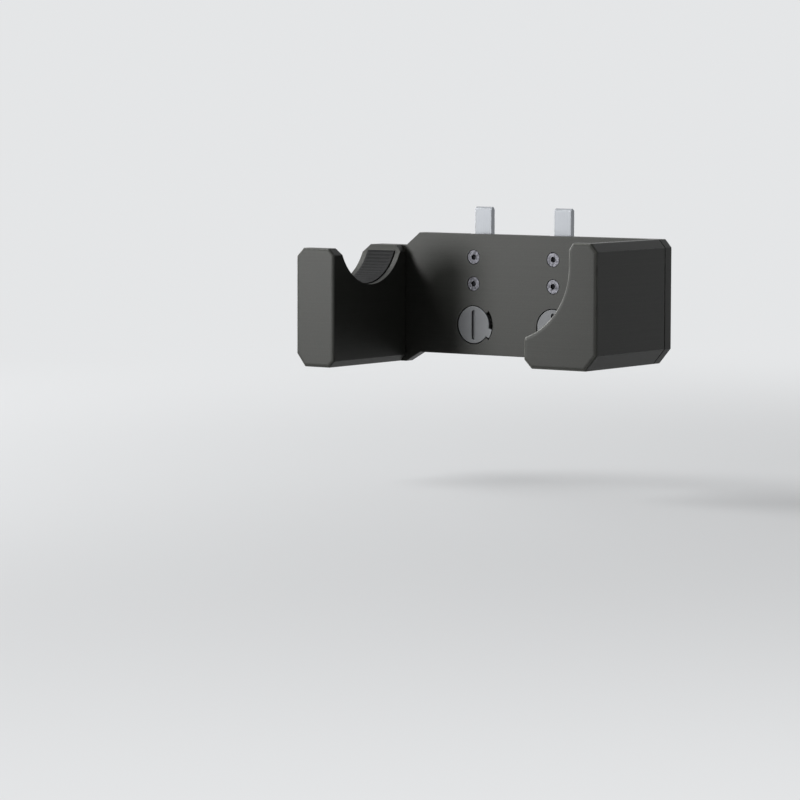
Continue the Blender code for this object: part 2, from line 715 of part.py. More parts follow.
def lock_washer(side, steel, place):
    """A wave washer between the cam's head and the floor of its counterbore."""
    level = lock_levels()
    middle = (level["head_back"] + level["counterbore"]) / 2
    outer_r = CAM_HEAD_R - SEAM
    inner_r = CAM_SHANK_R + SEAM
    corners = (
        (outer_r, -WASHER_STEEL / 2),
        (outer_r, WASHER_STEEL / 2),
        (inner_r, WASHER_STEEL / 2),
        (inner_r, -WASHER_STEEL / 2),
    )
    rings = []
    for radius, off in corners:
        ring = []
        for i in range(WASHER_STEPS):
            angle = 2 * math.pi * i / WASHER_STEPS
            wave = WASHER_WAVE * math.sin(WASHER_WAVES * angle)
            ring.append(Vector((radius * math.cos(angle), middle + off + wave, radius * math.sin(angle))))
        rings.append(ring)
    add_piece(f"lock_washer_{side}", loft(rings, closed=True), steel, place=place)


def lock_recess(x):
    """The counterbore for a cam's head, with the pocket in which its stop tab travels."""
    level = lock_levels()
    reach = CAM_HEAD_R + CAM_TAB_REACH + SEAM
    slack = math.degrees(SEAM / (CAM_HEAD_R + CAM_TAB_REACH))
    end = LOCK_TURN_DEG / 2 + CAM_TAB_HALF_DEG + CAM_TAB_FLANK_DEG + slack
    pocket = arc((x, LOWER_ROW_Z), reach, -end, end, ARC_STEPS)
    counterbore = arc((x, LOWER_ROW_Z), CAM_HEAD_R + SEAM, end, 360.0 - end, BORE_SIDES)
    outline = pocket + counterbore
    front = PLATE_FRONT_Y - OVERRUN
    return loft([ring_xz(outline, y) for y in (front, level["counterbore"])])


def locks(metal, steel, spring):
    for side, x in COLUMNS.items():
        axle = bpy.data.objects.new(f"lock_axle_{side}", None)
        bpy.context.scene.collection.objects.link(axle)
        axle.location = (x, 0.0, LOWER_ROW_Z)
        lock_cam(side, metal, axle)
        lock_dog(side, metal, axle)
        lock_screw(side, steel, axle)
        lock_washer(side, spring, (x, 0.0, LOWER_ROW_Z))


def wall_plate(plastic, places):
    outline = plate_outline()
    edge = PLATE_EDGE_BEVEL
    rings = [
        ring_xz(outline, PLATE_FRONT_Y),
        ring_xz(outline, -edge),
        ring_xz(inset(outline, edge), 0.0),
    ]
    plate = add_piece("wall_plate", loft(rings), plastic)
    for side, x in COLUMNS.items():
        cut(plate, f"hook_recess_{side}", hook_recess(x))
    for number, centre in enumerate(places, 1):
        hole = countersink(
            centre,
            CRADLE_SCREW_HEAD_R,
            CRADLE_SCREW_HEAD,
            CRADLE_SCREW_RIM,
            CRADLE_SCREW_SHANK_R,
            -HEAD_INSET,
            -1,
            PLATE_FRONT_Y - OVERRUN,
        )
        cut(plate, f"cradle_screw_hole_{number}", hole)
    for side, x in COLUMNS.items():
        for number, drop in enumerate(HOOK_SCREW_DROPS, 1):
            hole = countersink(
                (x, HOOK_NECK_Z - drop),
                HOOK_SCREW_HEAD_R,
                HOOK_SCREW_HEAD,
                HOOK_SCREW_RIM,
                HOOK_SCREW_SHANK_R,
                PLATE_FRONT_Y + HEAD_INSET,
                1,
                OVERRUN,
            )
            cut(plate, f"hook_screw_hole_{side}_{number}", hole)
        cut(plate, f"lock_recess_{side}", lock_recess(x))
        cut(plate, f"lock_bore_{side}", bore((x, LOWER_ROW_Z), CAM_SHANK_R + SLIP, PLATE_FRONT_Y, OVERRUN))


def main():
    clear_scene()
    plastic = make_material("charcoal_plastic", (0.060, 0.061, 0.057), 0.42, 0.0)
    rubber = make_material("black_rubber", (0.020, 0.021, 0.022), 0.80, 0.0)
    zinc = make_material("zinc_plated_steel", (0.55, 0.56, 0.58), 0.38, 1.0)
    black_steel = make_material("blackened_steel", (0.045, 0.045, 0.050), 0.42, 1.0)
    cast_metal = make_material("cast_zinc", (0.30, 0.31, 0.32), 0.45, 1.0)
    spring_steel = make_material("spring_steel", (0.40, 0.41, 0.43), 0.32, 1.0)
    brass = make_material("brass", (0.72, 0.52, 0.22), 0.35, 1.0)
    nose_places, tail_places = screw_places()
    places = nose_places + tail_places
    wall_plate(plastic, places)
    nose_cradle(plastic, nose_places)
    tail_cradle(plastic, tail_places)
    nose_liner(rubber)
    tail_liner(rubber)
    hooks(zinc)
    hook_screws(black_steel)
    cradle_screws(black_steel, places)
    cradle_inserts(brass, places)
    locks(cast_metal, black_steel, spring_steel)


main()
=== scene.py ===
import math

import bmesh
import bpy
from mathutils import Matrix, Vector


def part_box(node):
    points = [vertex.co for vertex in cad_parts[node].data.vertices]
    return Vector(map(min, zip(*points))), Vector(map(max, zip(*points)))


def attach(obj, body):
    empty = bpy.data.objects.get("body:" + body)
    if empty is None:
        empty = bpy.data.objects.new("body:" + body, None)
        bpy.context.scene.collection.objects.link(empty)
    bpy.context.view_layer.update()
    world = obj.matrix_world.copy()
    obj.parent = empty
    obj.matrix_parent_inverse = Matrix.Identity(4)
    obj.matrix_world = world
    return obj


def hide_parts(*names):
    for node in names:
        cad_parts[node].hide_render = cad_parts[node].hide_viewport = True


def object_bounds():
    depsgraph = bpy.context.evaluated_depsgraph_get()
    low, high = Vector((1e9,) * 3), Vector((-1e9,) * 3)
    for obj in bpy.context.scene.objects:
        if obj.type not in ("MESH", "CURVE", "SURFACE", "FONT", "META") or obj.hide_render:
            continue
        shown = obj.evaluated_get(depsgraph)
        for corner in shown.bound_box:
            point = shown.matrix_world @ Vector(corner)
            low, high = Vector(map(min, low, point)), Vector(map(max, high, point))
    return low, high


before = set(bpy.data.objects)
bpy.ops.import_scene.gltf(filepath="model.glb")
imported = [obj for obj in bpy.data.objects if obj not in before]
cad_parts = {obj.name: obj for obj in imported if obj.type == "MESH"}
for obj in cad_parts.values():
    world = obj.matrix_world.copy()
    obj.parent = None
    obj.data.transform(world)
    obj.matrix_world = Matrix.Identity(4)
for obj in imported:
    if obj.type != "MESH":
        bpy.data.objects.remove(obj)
cad_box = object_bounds()

# The dressed pegboard drill holder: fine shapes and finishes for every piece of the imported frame,
# with the light, the floor and the camera. Lengths are in metres.

MM = 0.001

# The board's pitch and holes, which place the seats, the hooks and the locks
PITCH = 38 * MM
HOLE_SIDE = 10 * MM
UPPER_ROW_Z = PITCH / 2
LOWER_ROW_Z = -PITCH / 2
COLUMNS = {"left": -PITCH / 2, "right": PITCH / 2}

# Clearances
SEAM = 0.3 * MM
SLIP = 0.2 * MM
OVERRUN = 2 * MM

# Roundings
FACE_BEVEL_WIDTH = 1.6 * MM
FACE_BEVEL_TILT_DEG = 12.0
FACE_BEVEL_CORNER = 0.9 * MM
FACE_BEVEL_STEPS = 8
LONG_EDGE_ROUND = 0.55 * MM
BACK_EDGE_ROUND = 0.3 * MM
SEAT_EDGE_ROUND = 0.3 * MM
PLATE_BACK_BEVEL = 0.6 * MM
PLATE_FRONT_ROUND = 0.25 * MM
HOLE_EDGE_ROUND = 0.12 * MM
CORNER_STEPS = 4
ROUND_STEPS = 3
SHARP_DEG = 32.0
ARC_TURN_DEG = 20.0
FLAT_DEG = 0.3
MERGE_DISTANCE = 0.003 * MM
SHORTEST_EDGE = 0.01 * MM
BEND_START = 0.5 / MM
BEND_FULL = 1.3 / MM
FLAT_WIDTH = 0.6 * MM
# The outer band of the face bevel that takes the lighter edges: rubbed wear, and on the plastic
# partly a painted rim highlight.
RIM_WEAR_AND_HIGHLIGHT = 0.5 * MM

# Patterns in the finishes
NOISE_REACH = (0.3, 0.7)
METAL_LINE = 0.25 * MM

# Seats
SEAT_RADIUS = 21.7 * MM
SEAT_STEPS = 72
SCOOP_STEPS = 44

# How far the chamfers of the cradles' corners reach, across and up
NOSE_CHAMFERS = {
    "bottom left": (4.0 * MM, 5.2 * MM),
    "bottom right": (2.6 * MM, 2.6 * MM),
    "top right": (2.6 * MM, 2.6 * MM),
    "top left": (3.2 * MM, 3.2 * MM),
}
TAIL_CHAMFERS = {
    "bottom left": (3.4 * MM, 3.4 * MM),
    "bottom right": (5.1 * MM, 6.0 * MM),
    "top right": (2.8 * MM, 3.2 * MM),
    "top left": (1.8 * MM, 2.6 * MM),
}

# Tail cradle
TAIL_SEAT_DROP = 4.5 * MM
TAIL_TOP_WALL = 12.85 * MM
TAIL_END_WALL = 5.2 * MM
TAIL_LOBE_ROUND = 1.8 * MM
SCOOP_RADIUS = 29.1 * MM
SCOOP_DROP = 8.9 * MM

# Liners
LINER_THICKNESS = 2.0 * MM
LINER_PROUD = 0.5 * MM
LINER_EDGE_ROUND = 0.25 * MM
NOSE_LINER_SWEEP = (205.0, 335.0)
TAIL_LINER_SWEEP = (-64.0, -38.0)
RIB_PITCH = 1.6 * MM
RIB_DEPTH = 0.35 * MM
RIB_POINTS = 8

# Wall plate between the cradles
PLATE_STEP_RUN = 6.5 * MM
PLATE_FOOT_RUN = 7.0 * MM

# Hooks
HOOK_STEEL = 2.5 * MM
HOOK_NECK_Z = UPPER_ROW_Z - HOLE_SIDE / 2
HOOK_TIP_CHAMFER = 0.8 * MM
HOOK_EDGE_ROUND = 0.25 * MM
HOOK_BEND_STEPS = 12
HOOK_SCREW_DROPS = (5.8 * MM, 16.5 * MM)

# Screws
HOOK_SCREW = {
    "head_r": 2.8 * MM,
    "head": 1.5 * MM,
    "rim": 0.2 * MM,
    "shank_r": 1.5 * MM,
    "socket": 2.0 * MM,
    "socket_depth": 1.0 * MM,
    "pitch": 0.5 * MM,
}
CRADLE_SCREW = {
    "head_r": 3.9 * MM,
    "head": 2.2 * MM,
    "rim": 0.3 * MM,
    "shank_r": 2.0 * MM,
    "socket": 2.5 * MM,
    "socket_depth": 1.5 * MM,
    "pitch": 0.7 * MM,
}
LOCK_SCREW_SHANK_R = 1.5 * MM
LOCK_SCREW_HEAD_R = 4.2 * MM
LOCK_SCREW_HEAD = 2.0 * MM
LOCK_SCREW_HEAD_ROUND = 0.7 * MM
LOCK_SCREW_SOCKET = 2.5 * MM
LOCK_SCREW_SOCKET_DEPTH = 1.2 * MM
LOCK_SCREW_PITCH = 0.5 * MM
LOCK_SCREW_SEEDS = {"left": 2, "right": 7}
HEAD_INSET = 0.1 * MM
TIP_CHAMFER = 0.3 * MM
SCREW_EDGE = 0.08 * MM
SCREW_SIDES = 48
DOME_STEPS = 5
SOCKET_POINT = 0.3 * MM
SOCKET_POINT_SHARE = 0.2
THREAD_DEPTH_SHARE = 0.45
RINGS_PER_THREAD = 8

# Threaded inserts
INSERT_R = 3.0 * MM
INSERT_POCKET_SHARE = 1.15
INSERT_HOLE_R = 2.2 * MM
INSERT_EDGE = 0.15 * MM
INSERT_GROOVE_DEPTH = 0.4 * MM
INSERT_GROOVE_WIDTH = 1.2 * MM
INSERT_SIDES = 144
INSERT_BANDS = 3
INSERT_BAND_STEPS = 3
INSERT_TEETH = 24
INSERT_TOOTH_DEPTH = 0.2 * MM
INSERT_SLANT = 0.5

# Locks
CAM_HEAD_R = 7.5 * MM
CAM_HEAD = 1.7 * MM
CAM_SHANK_R = 4.7 * MM
CAM_SQUARE = 6.0 * MM
CAM_TAB_REACH = 1.6 * MM
CAM_TAB_HALF_DEG = 12.0
CAM_TAB_FLANK_DEG = 2.0
CAM_TAB_FLANK_STEPS = 4
CAM_SPACING_DEG = 1.0
CAM_SLOT_WIDTH = 1.8 * MM
CAM_SLOT_LENGTH = 11.8 * MM
CAM_SLOT_DEPTH = 0.9 * MM
CAM_SLOT_STEPS = 12
CAM_EDGE = 0.3 * MM
CAM_SOFT_EDGE = 0.12 * MM
CAM_SIDES = 96
LOCK_TURN_DEG = 45.0
WASHER_STEEL = 0.3 * MM
WASHER_WAVE = 0.1 * MM
WASHER_WAVES = 3
WASHER_STEPS = 120
WASHER_EDGE = 0.06 * MM
WASHER_SPACE = WASHER_STEEL + 2 * WASHER_WAVE + 2 * SLIP
DOG_SIDE = 9.4 * MM
DOG_CORNER = 0.5 * MM
DOG_EDGE_ROUND = 0.25 * MM

# Places read from the frame
nose_low, nose_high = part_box("nose_cradle")
tail_low, tail_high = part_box("tail_cradle")
plate_low, plate_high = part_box("wall_plate")
nose_liner_low, nose_liner_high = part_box("nose_liner")
tail_liner_low, tail_liner_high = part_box("tail_liner")
FRONT_Y = nose_low.y
CRADLE_BACK_Y = nose_high.y
PLATE_FRONT_Y = plate_low.y
SEAT_CENTRE_Y = (nose_liner_low.y + nose_liner_high.y) / 2
SEAT_CENTRE = (SEAT_CENTRE_Y, UPPER_ROW_Z)
TAIL_SEAT_Z = UPPER_ROW_Z - TAIL_SEAT_DROP
SCOOP_CENTRE = (tail_high.x - TAIL_TOP_WALL - SCOOP_RADIUS, tail_high.z - SCOOP_DROP)

# Camera
CAMERA_PLACE = (0.81046, -1.21748, 0.07471)
CAMERA_AZIMUTH_DEG = 35.5216
CAMERA_ELEVATION_DEG = 4.8283
CAMERA_ROLL_DEG = 0.1248
CAMERA_LENS = 164.9
CAMERA_CLIP = (0.05, 40.0)

# Studio
FLOOR_DROP = 45 * MM
FLOOR_SIZE = 14.0
PALE = (0.78, 0.79, 0.80)
FADE_REACH = (0.2, 0.75)
FLOOR_BOUNCE = 0.15
FLOOR_GLOW = 0.45
LAMP_TARGET = (0.0, -0.02, 0.0)
ROOM_AXIS = (-0.81, 0.5, -0.3)
ROOM_REACH = (0.1, 0.8)

# Lamps: place, size, watts, and whether they add more than gloss
LAMPS = {
    "key_light": ((-0.40, -0.57, 0.045), 0.2, 2.35, True),
    "fill_light": ((-1.2, -0.35, 0.95), 0.9, 16.0, True),
    "side_light": ((-1.2, 0.15, 0.24), 0.8, 8.0, True),
    "back_light": ((-0.25, 1.45, 0.1), 0.3, 10.0, True),
    "sheen_light": ((1.2, -0.1, 0.25), 1.0, 3.0, False),
}


# Points and outlines


def around(centre, radius, angle):
    """The point at an angle on the circle round the centre."""
    return (centre[0] + radius * math.cos(angle), centre[1] + radius * math.sin(angle))


def circle(radius, sides, centre=(0.0, 0.0)):
    return [around(centre, radius, 2 * math.pi * i / sides) for i in range(sides)]


def arc(centre, radius, start_deg, end_deg, steps):
    sweep = end_deg - start_deg
    angles = [math.radians(start_deg + sweep * i / steps) for i in range(steps + 1)]
    return [around(centre, radius, angle) for angle in angles]


def polygon_radius(across_flats, corners, angle):
    """Distance from the centre to a regular polygon's side. A corner lies at angle zero."""
    step = 2 * math.pi / corners
    return across_flats / 2 / math.cos((angle % step) - step / 2)


def polygon(across_flats, corners, sides):
    """A regular polygon drawn with as many points as the circle that it joins."""
    points = []
    for i in range(sides):
        turn = 2 * math.pi * i / sides
        points.append(around((0.0, 0.0), polygon_radius(across_flats, corners, turn), turn))
    return points


def area(outline):
    sides = zip(outline, outline[1:] + outline[:1])
    return sum(x1 * z2 - x2 * z1 for (x1, z1), (x2, z2) in sides) / 2


def sides_at(outline, i):
    """A point of the outline, and the sides before and after it."""
    here = Vector(outline[i])
    before = here - Vector(outline[i - 1])
    after = Vector(outline[(i + 1) % len(outline)]) - here
    return here, before, after


def inset(outline, distance):
    """The outline with each side moved inwards by the distance."""
    turn = 1 if area(outline) > 0 else -1
    moved = []
    for i in range(len(outline)):
        here, before, after = sides_at(outline, i)
        first_in = Vector((-before.y, before.x)).normalized() * turn
        second_in = Vector((-after.y, after.x)).normalized() * turn
        middle = (first_in + second_in).normalized()
        moved.append(tuple(here + middle * (distance / middle.dot(first_in))))
    return moved


def rounded(outline, radius):
    """The outline with its corners rounded. The small turns of an arc are left as they are."""
    points = []
    for i in range(len(outline)):
        here, before, after = sides_at(outline, i)
        turn = before.angle_signed(after)
        if abs(turn) < math.radians(ARC_TURN_DEG):
            points.append(tuple(here))
            continue
        reach = radius * math.tan(abs(turn) / 2)
        start = here - before.normalized() * reach
        middle = start + Vector((before.y, -before.x)).normalized() * math.copysign(radius, turn)
        spoke = start - middle
        for step in range(CORNER_STEPS + 1):
            swung = spoke.copy()
            swung.rotate(Matrix.Rotation(-turn * step / CORNER_STEPS, 2))
            points.append(tuple(middle + swung))
    return points


def chamfered(low, high, chamfers, top_left_x):
    """A box's outline with its corners chamfered, from the left side round by the bottom."""
    (ax, az), (bx, bz), (cx, cz), (dx, dz) = chamfers.values()
    return [
        (low.x, low.z + az),
        (low.x + ax, low.z),
        (high.x - bx, low.z),
        (high.x, low.z + bz),
        (high.x, high.z - cz),
        (high.x - cx, high.z),
        (top_left_x + dx, high.z),
        (top_left_x, high.z - dz),
    ]


def nose_outline():
    return chamfered(nose_low, nose_high, NOSE_CHAMFERS, nose_low.x)


def scoop_and_lobe():
    """The scoop's arc, down from the upright wall, and the lobe's round corner after it."""
    corner_x = tail_low.x + TAIL_LOBE_ROUND
    reach = SCOOP_RADIUS + TAIL_LOBE_ROUND
    turn = math.degrees(math.acos((corner_x - SCOOP_CENTRE[0]) / reach))
    corner_z = SCOOP_CENTRE[1] - reach * math.sin(math.radians(turn))
    scoop = arc(SCOOP_CENTRE, SCOOP_RADIUS, 0.0, -turn, SCOOP_STEPS)
    corner = arc((corner_x, corner_z), TAIL_LOBE_ROUND, 180.0 - turn, 180.0, 3 * CORNER_STEPS)
    return scoop + corner[1:]


def tail_outline():
    inner_wall = tail_high.x - TAIL_TOP_WALL
    return chamfered(tail_low, tail_high, TAIL_CHAMFERS, inner_wall) + scoop_and_lobe()


def plate_outline():
    nose, tail = nose_outline(), tail_outline()
    return [
        *nose[:2],
        (nose_high.x, nose_low.z),
        (nose_high.x + PLATE_FOOT_RUN, tail_low.z),
        *tail[2:6],
        (nose_high.x + PLATE_STEP_RUN, tail_high.z),
        (nose_high.x, nose_high.z),
        *nose[6:],
    ]


def trough_profile(centre_z, top_z):
    """A round-bottomed trough as (y, z) points, with straight sides up to top_z."""
    half = arc((SEAT_CENTRE_Y, centre_z), SEAT_RADIUS, 180.0, 360.0, SEAT_STEPS)
    return [(SEAT_CENTRE_Y - SEAT_RADIUS, top_z), *half, (SEAT_CENTRE_Y + SEAT_RADIUS, top_z)]


def strip_profile(centre, inner, outer, start_deg, end_deg, steps):
    """A curved strip between two radii."""
    there = arc(centre, inner, start_deg, end_deg, steps)
    return there + arc(centre, outer, end_deg, start_deg, steps)


def quarter_round(radius, steps):
    """A rounded edge as (inwards, back) pairs, from the face to the side."""
    turns = [math.pi / 2 * i / steps for i in range(steps + 1)]
    return [(radius * (1 - math.sin(turn)), radius * (1 - math.cos(turn))) for turn in turns]


# Solids


def ring_xz(points, y):
    return [Vector((x, y, z)) for x, z in points]


def ring_yz(points, x):
    return [Vector((x, y, z)) for y, z in points]


def loft(rings, closed=False):
    """A solid through rings of equally many points, capped at its ends, or joined where closed."""
    shape = bmesh.new()
    rows = [[shape.verts.new(point) for point in ring] for ring in rings]
    count = len(rows[0])
    pairs = list(zip(rows, rows[1:]))
    if closed:
        pairs.append((rows[-1], rows[0]))
    for low, high in pairs:
        for i in range(count):
            j = (i + 1) % count
            shape.faces.new((low[i], low[j], high[j], high[i]))
    if not closed:
        shape.faces.new(rows[0][::-1])
        shape.faces.new(rows[-1])
    bmesh.ops.recalc_face_normals(shape, faces=shape.faces)
    return shape


def rolled_edge(outline, front_y, width, corner, tilt_deg, steps):
    """Rings that take the outline to its front face, by a round corner and a tilted bevel."""
    tilt = math.radians(tilt_deg)
    corner_end = corner * (1 - math.sin(tilt))
    centre_back = corner * math.cos(tilt) + (width - corner_end) * math.tan(tilt)
    profile = []
    for i in range(steps + 1):
        turn = math.pi / 2 + (tilt - math.pi / 2) * i / steps
        profile.append((corner * (1 - math.sin(turn)), centre_back - corner * math.cos(turn)))
    if width > corner:
        for inwards in (corner_end + RIM_WEAR_AND_HIGHLIGHT, width):
            profile.append((inwards, (width - inwards) * math.tan(tilt)))
    return [
        ring_xz(rounded(inset(outline, inwards), LONG_EDGE_ROUND), front_y + back)
        for inwards, back in profile
    ]


def round_edge(outline, front_y, radius):
    return rolled_edge(outline, front_y, radius, radius, 0.0, ROUND_STEPS)


def cradle_block(outline):
    bevel = (FACE_BEVEL_WIDTH, FACE_BEVEL_CORNER, FACE_BEVEL_TILT_DEG, FACE_BEVEL_STEPS)
    front = rolled_edge(outline, FRONT_Y, *bevel)
    back = [
        [Vector((point.x, CRADLE_BACK_Y - point.y, point.z)) for point in ring]
        for ring in round_edge(outline, 0.0, BACK_EDGE_ROUND)
    ]
    return loft(front[::-1] + back)


def bar(make_ring, profile, start, end):
    """A profile drawn out from start to end."""
    return loft([make_ring(profile, place) for place in (start, end)])


def bore(centre, radius, y_from, y_to, sides=SCREW_SIDES):
    return bar(ring_xz, circle(radius, sides, centre), y_from, y_to)


def block(low, high):
    corners = [(low[0], low[1]), (high[0], low[1]), (high[0], high[1]), (low[0], high[1])]
    return loft([[Vector((x, y, z)) for x, y in corners] for z in (low[2], high[2])])


def new_object(name, data):
    made = bpy.data.objects.new(name, data)
    bpy.context.scene.collection.objects.link(made)
    return made


def plain_object(name, shape):
    mesh = bpy.data.meshes.new(name)
    shape.to_mesh(mesh)
    shape.free()
    return new_object(name, mesh)


def settle(piece):
    """The piece's mesh with its modifiers applied."""
    evaluated = piece.evaluated_get(bpy.context.evaluated_depsgraph_get())
    return bpy.data.meshes.new_from_object(evaluated)


def carve(shape, cutters):
    """Takes the cutters out of the shape, and merges what lies in one plane."""
    solid = plain_object("carving", shape)
    tools = [plain_object("carving_tool", cutter) for cutter in cutters]
    for tool in tools:
        boolean = solid.modifiers.new("cut", "BOOLEAN")
        boolean.operation = "DIFFERENCE"
        boolean.solver = "EXACT"
        boolean.object = tool
    carved = bmesh.new()
    carved.from_mesh(settle(solid))
    for used in [solid, *tools]:
        bpy.data.objects.remove(used, do_unlink=True)
    bmesh.ops.remove_doubles(carved, verts=carved.verts, dist=MERGE_DISTANCE)
    flat = math.radians(FLAT_DEG)
    bmesh.ops.dissolve_limit(carved, angle_limit=flat, verts=carved.verts, edges=carved.edges)
    return carved


def soften(shape, width):
    """Rounds the edges that are still sharp."""
    limit = math.radians(SHARP_DEG)
    sharp = [edge for edge in shape.edges if edge.is_manifold and edge.calc_face_angle() > limit]
    bmesh.ops.bevel(
        shape,
        geom=sharp,
        offset=width,
        segments=ROUND_STEPS,
        profile=0.5,
        affect="EDGES",
        clamp_overlap=True,
    )
    return shape


# Node trees


# Places of the sockets that share their names with others
RANDOM_FLOAT_REACH, RANDOM_FLOAT = (2, 3), 1
MIX_COLOURS, MIX_RESULT = (6, 7), 2


def add_node(tree, kind, inputs=None, **settings):
    """Adds a node. An input is a plain value or another node's output."""
    node = tree.nodes.new(kind)
    for name, value in settings.items():
        setattr(node, name, value)
    for name, value in (inputs or {}).items():
        if isinstance(value, bpy.types.NodeSocket):
            tree.links.new(value, node.inputs[name])
        else:
            node.inputs[name].default_value = value
    return node


def calculate(tree, operation, *values):
    node = add_node(tree, "ShaderNodeMath", dict(enumerate(values)), operation=operation)
    return node.outputs["Value"]


def vectors(tree, operation, *values, number=False):
    node = add_node(tree, "ShaderNodeVectorMath", dict(enumerate(values)), operation=operation)
    return node.outputs["Value" if number else "Vector"]


def dot(tree, first, second):
    return vectors(tree, "DOT_PRODUCT", first, second, number=True)


def scaled(tree, vector, factor):
    inputs = {"Vector": vector, "Scale": factor}
    node = add_node(tree, "ShaderNodeVectorMath", inputs, operation="SCALE")
    return node.outputs["Vector"]


def geometry_tree(name, sizes):
    """A Geometry Nodes tree with the named inputs. Returns it and its input sockets by name."""
    tree = bpy.data.node_groups.new(name, "GeometryNodeTree")
    kinds = {"Geometry": "Geometry", **sizes}
    for label, kind in kinds.items():
        tree.interface.new_socket(label, in_out="INPUT", socket_type=f"NodeSocket{kind}")
    tree.interface.new_socket("Geometry", in_out="OUTPUT", socket_type="NodeSocketGeometry")
    given = add_node(tree, "NodeGroupInput").outputs
    return tree, {label: given[label] for label in kinds}


def end_tree(tree, geometry, finish):
    """Makes the copies real, gives them their finish, and hands them out."""
    solid = add_node(tree, "GeometryNodeRealizeInstances", {"Geometry": geometry})
    inputs = {"Geometry": solid.outputs["Geometry"], "Material": finish}
    finished = add_node(tree, "GeometryNodeSetMaterial", inputs)
    add_node(tree, "NodeGroupOutput", {"Geometry": finished.outputs["Geometry"]})


def grow(name, tree, values, shape):
    """Runs a Geometry Nodes tree on a shape and keeps the result as a plain mesh."""
    piece = plain_object(name, shape)
    modifier = piece.modifiers.new(name, "NODES")
    modifier.node_group = tree
    for item in tree.interface.items_tree:
        if item.in_out == "INPUT" and item.name in values:
            modifier[item.identifier] = values[item.name]
    mesh = settle(piece)
    mesh.name = name
    piece.modifiers.clear()
    piece.data = mesh
    return piece


def waves_round_axis_tree():
    """Ribs, threads and knurls: points between two radii are moved on waves round an axis."""
    directions = dict.fromkeys(("Centre", "Axis", "Across"), "Vector")
    numbers = ("Waves", "Slant", "Depth", "Inner", "Outer", "Start", "End", "Fade")
    sizes = {**directions, **dict.fromkeys(numbers, "Float"), "Finish": "Material"}
    tree, given = geometry_tree("waves_round_axis", sizes)
    place = add_node(tree, "GeometryNodeInputPosition").outputs["Position"]
    from_centre = vectors(tree, "SUBTRACT", place, given["Centre"])
    along = dot(tree, from_centre, given["Axis"])
    radial = vectors(tree, "SUBTRACT", from_centre, scaled(tree, given["Axis"], along))
    radius = vectors(tree, "LENGTH", radial, number=True)
    third = vectors(tree, "CROSS_PRODUCT", given["Axis"], given["Across"])
    parts = (dot(tree, radial, third), dot(tree, radial, given["Across"]))
    angle = calculate(tree, "ARCTAN2", *parts)
    turned = calculate(tree, "MULTIPLY", angle, given["Waves"])
    slanted = calculate(tree, "MULTIPLY", along, given["Slant"])
    phase = calculate(tree, "ADD", turned, slanted)
    wave = calculate(tree, "MULTIPLY_ADD", calculate(tree, "COSINE", phase), -0.5, 0.5)
    rise = calculate(tree, "SUBTRACT", along, given["Start"])
    fall = calculate(tree, "SUBTRACT", given["End"], along)
    nearer = calculate(tree, "DIVIDE", calculate(tree, "MINIMUM", rise, fall), given["Fade"])
    ends = calculate(tree, "MAXIMUM", calculate(tree, "MINIMUM", nearer, 1.0), 0.0)
    strength = calculate(tree, "MULTIPLY", wave, ends)
    shift = calculate(tree, "MULTIPLY", strength, given["Depth"])
    above = calculate(tree, "GREATER_THAN", radius, given["Inner"])
    below = calculate(tree, "LESS_THAN", radius, given["Outer"])
    inputs = {
        "Geometry": given["Geometry"],
        "Selection": calculate(tree, "MULTIPLY", above, below),
        "Offset": scaled(tree, vectors(tree, "NORMALIZE", radial), shift),
    }
    moved = add_node(tree, "GeometryNodeSetPosition", inputs)
    end_tree(tree, moved.outputs["Geometry"], given["Finish"])
    return tree


def set_out_tree():
    """Copies of a piece on points, each turned its own way about the Y axis."""
    sizes = {"Piece": "Object", "Most Turn": "Float", "Seed": "Int", "Finish": "Material"}
    tree, given = geometry_tree("set_out_on_points", sizes)
    least, most = RANDOM_FLOAT_REACH
    draw = {least: 0.0, most: given["Most Turn"], "Seed": given["Seed"]}
    random = add_node(tree, "FunctionNodeRandomValue", draw, data_type="FLOAT")
    turn = random.outputs[RANDOM_FLOAT]
    spin = add_node(tree, "FunctionNodeAxisAngleToRotation", {"Axis": (0, 1, 0), "Angle": turn})
    piece = add_node(tree, "GeometryNodeObjectInfo", {"Object": given["Piece"]})
    inputs = {
        "Points": given["Geometry"],
        "Instance": piece.outputs["Geometry"],
        "Rotation": spin.outputs["Rotation"],
    }
    copies = add_node(tree, "GeometryNodeInstanceOnPoints", inputs)
    end_tree(tree, copies.outputs["Instances"], given["Finish"])
    return tree


WAVES = waves_round_axis_tree()
SET_OUT = set_out_tree()


# Finishes


def new_material(name, roughness, metallic=0.0, shine=0.5):
    made = bpy.data.materials.new(name)
    made.use_nodes = True
    shader = made.node_tree.nodes["Principled BSDF"]
    values = {"Roughness": roughness, "Metallic": metallic, "Specular IOR Level": shine}
    for label, value in values.items():
        shader.inputs[label].default_value = value
    return made, made.node_tree, shader


def object_place(tree):
    return add_node(tree, "ShaderNodeTexCoord").outputs["Object"]


def stretched(tree, place, x, y, z):
    """Object coordinates drawn out, so that a pattern of unit size measures x, y and z there."""
    scale = (1 / x, 1 / y, 1 / z)
    return add_node(tree, "ShaderNodeMapping", {"Vector": place, "Scale": scale}).outputs[0]


def noise(tree, place, size, detail=2.0, rough=0.55):
    """Noise between 0 and 1 whose patches measure about the size."""
    inputs = {"Vector": place, "Scale": 1 / size, "Detail": detail, "Roughness": rough}
    return add_node(tree, "ShaderNodeTexNoise", inputs).outputs[0]


def span(tree, value, reach, to=(0.0, 1.0), curve="LINEAR"):
    """The value's reach from low to high, mapped to another, and held at its ends."""
    inputs = {"Value": value, "From Min": reach[0], "From Max": reach[1]}
    inputs |= {"To Min": to[0], "To Max": to[1]}
    return add_node(tree, "ShaderNodeMapRange", inputs, interpolation_type=curve).outputs["Result"]


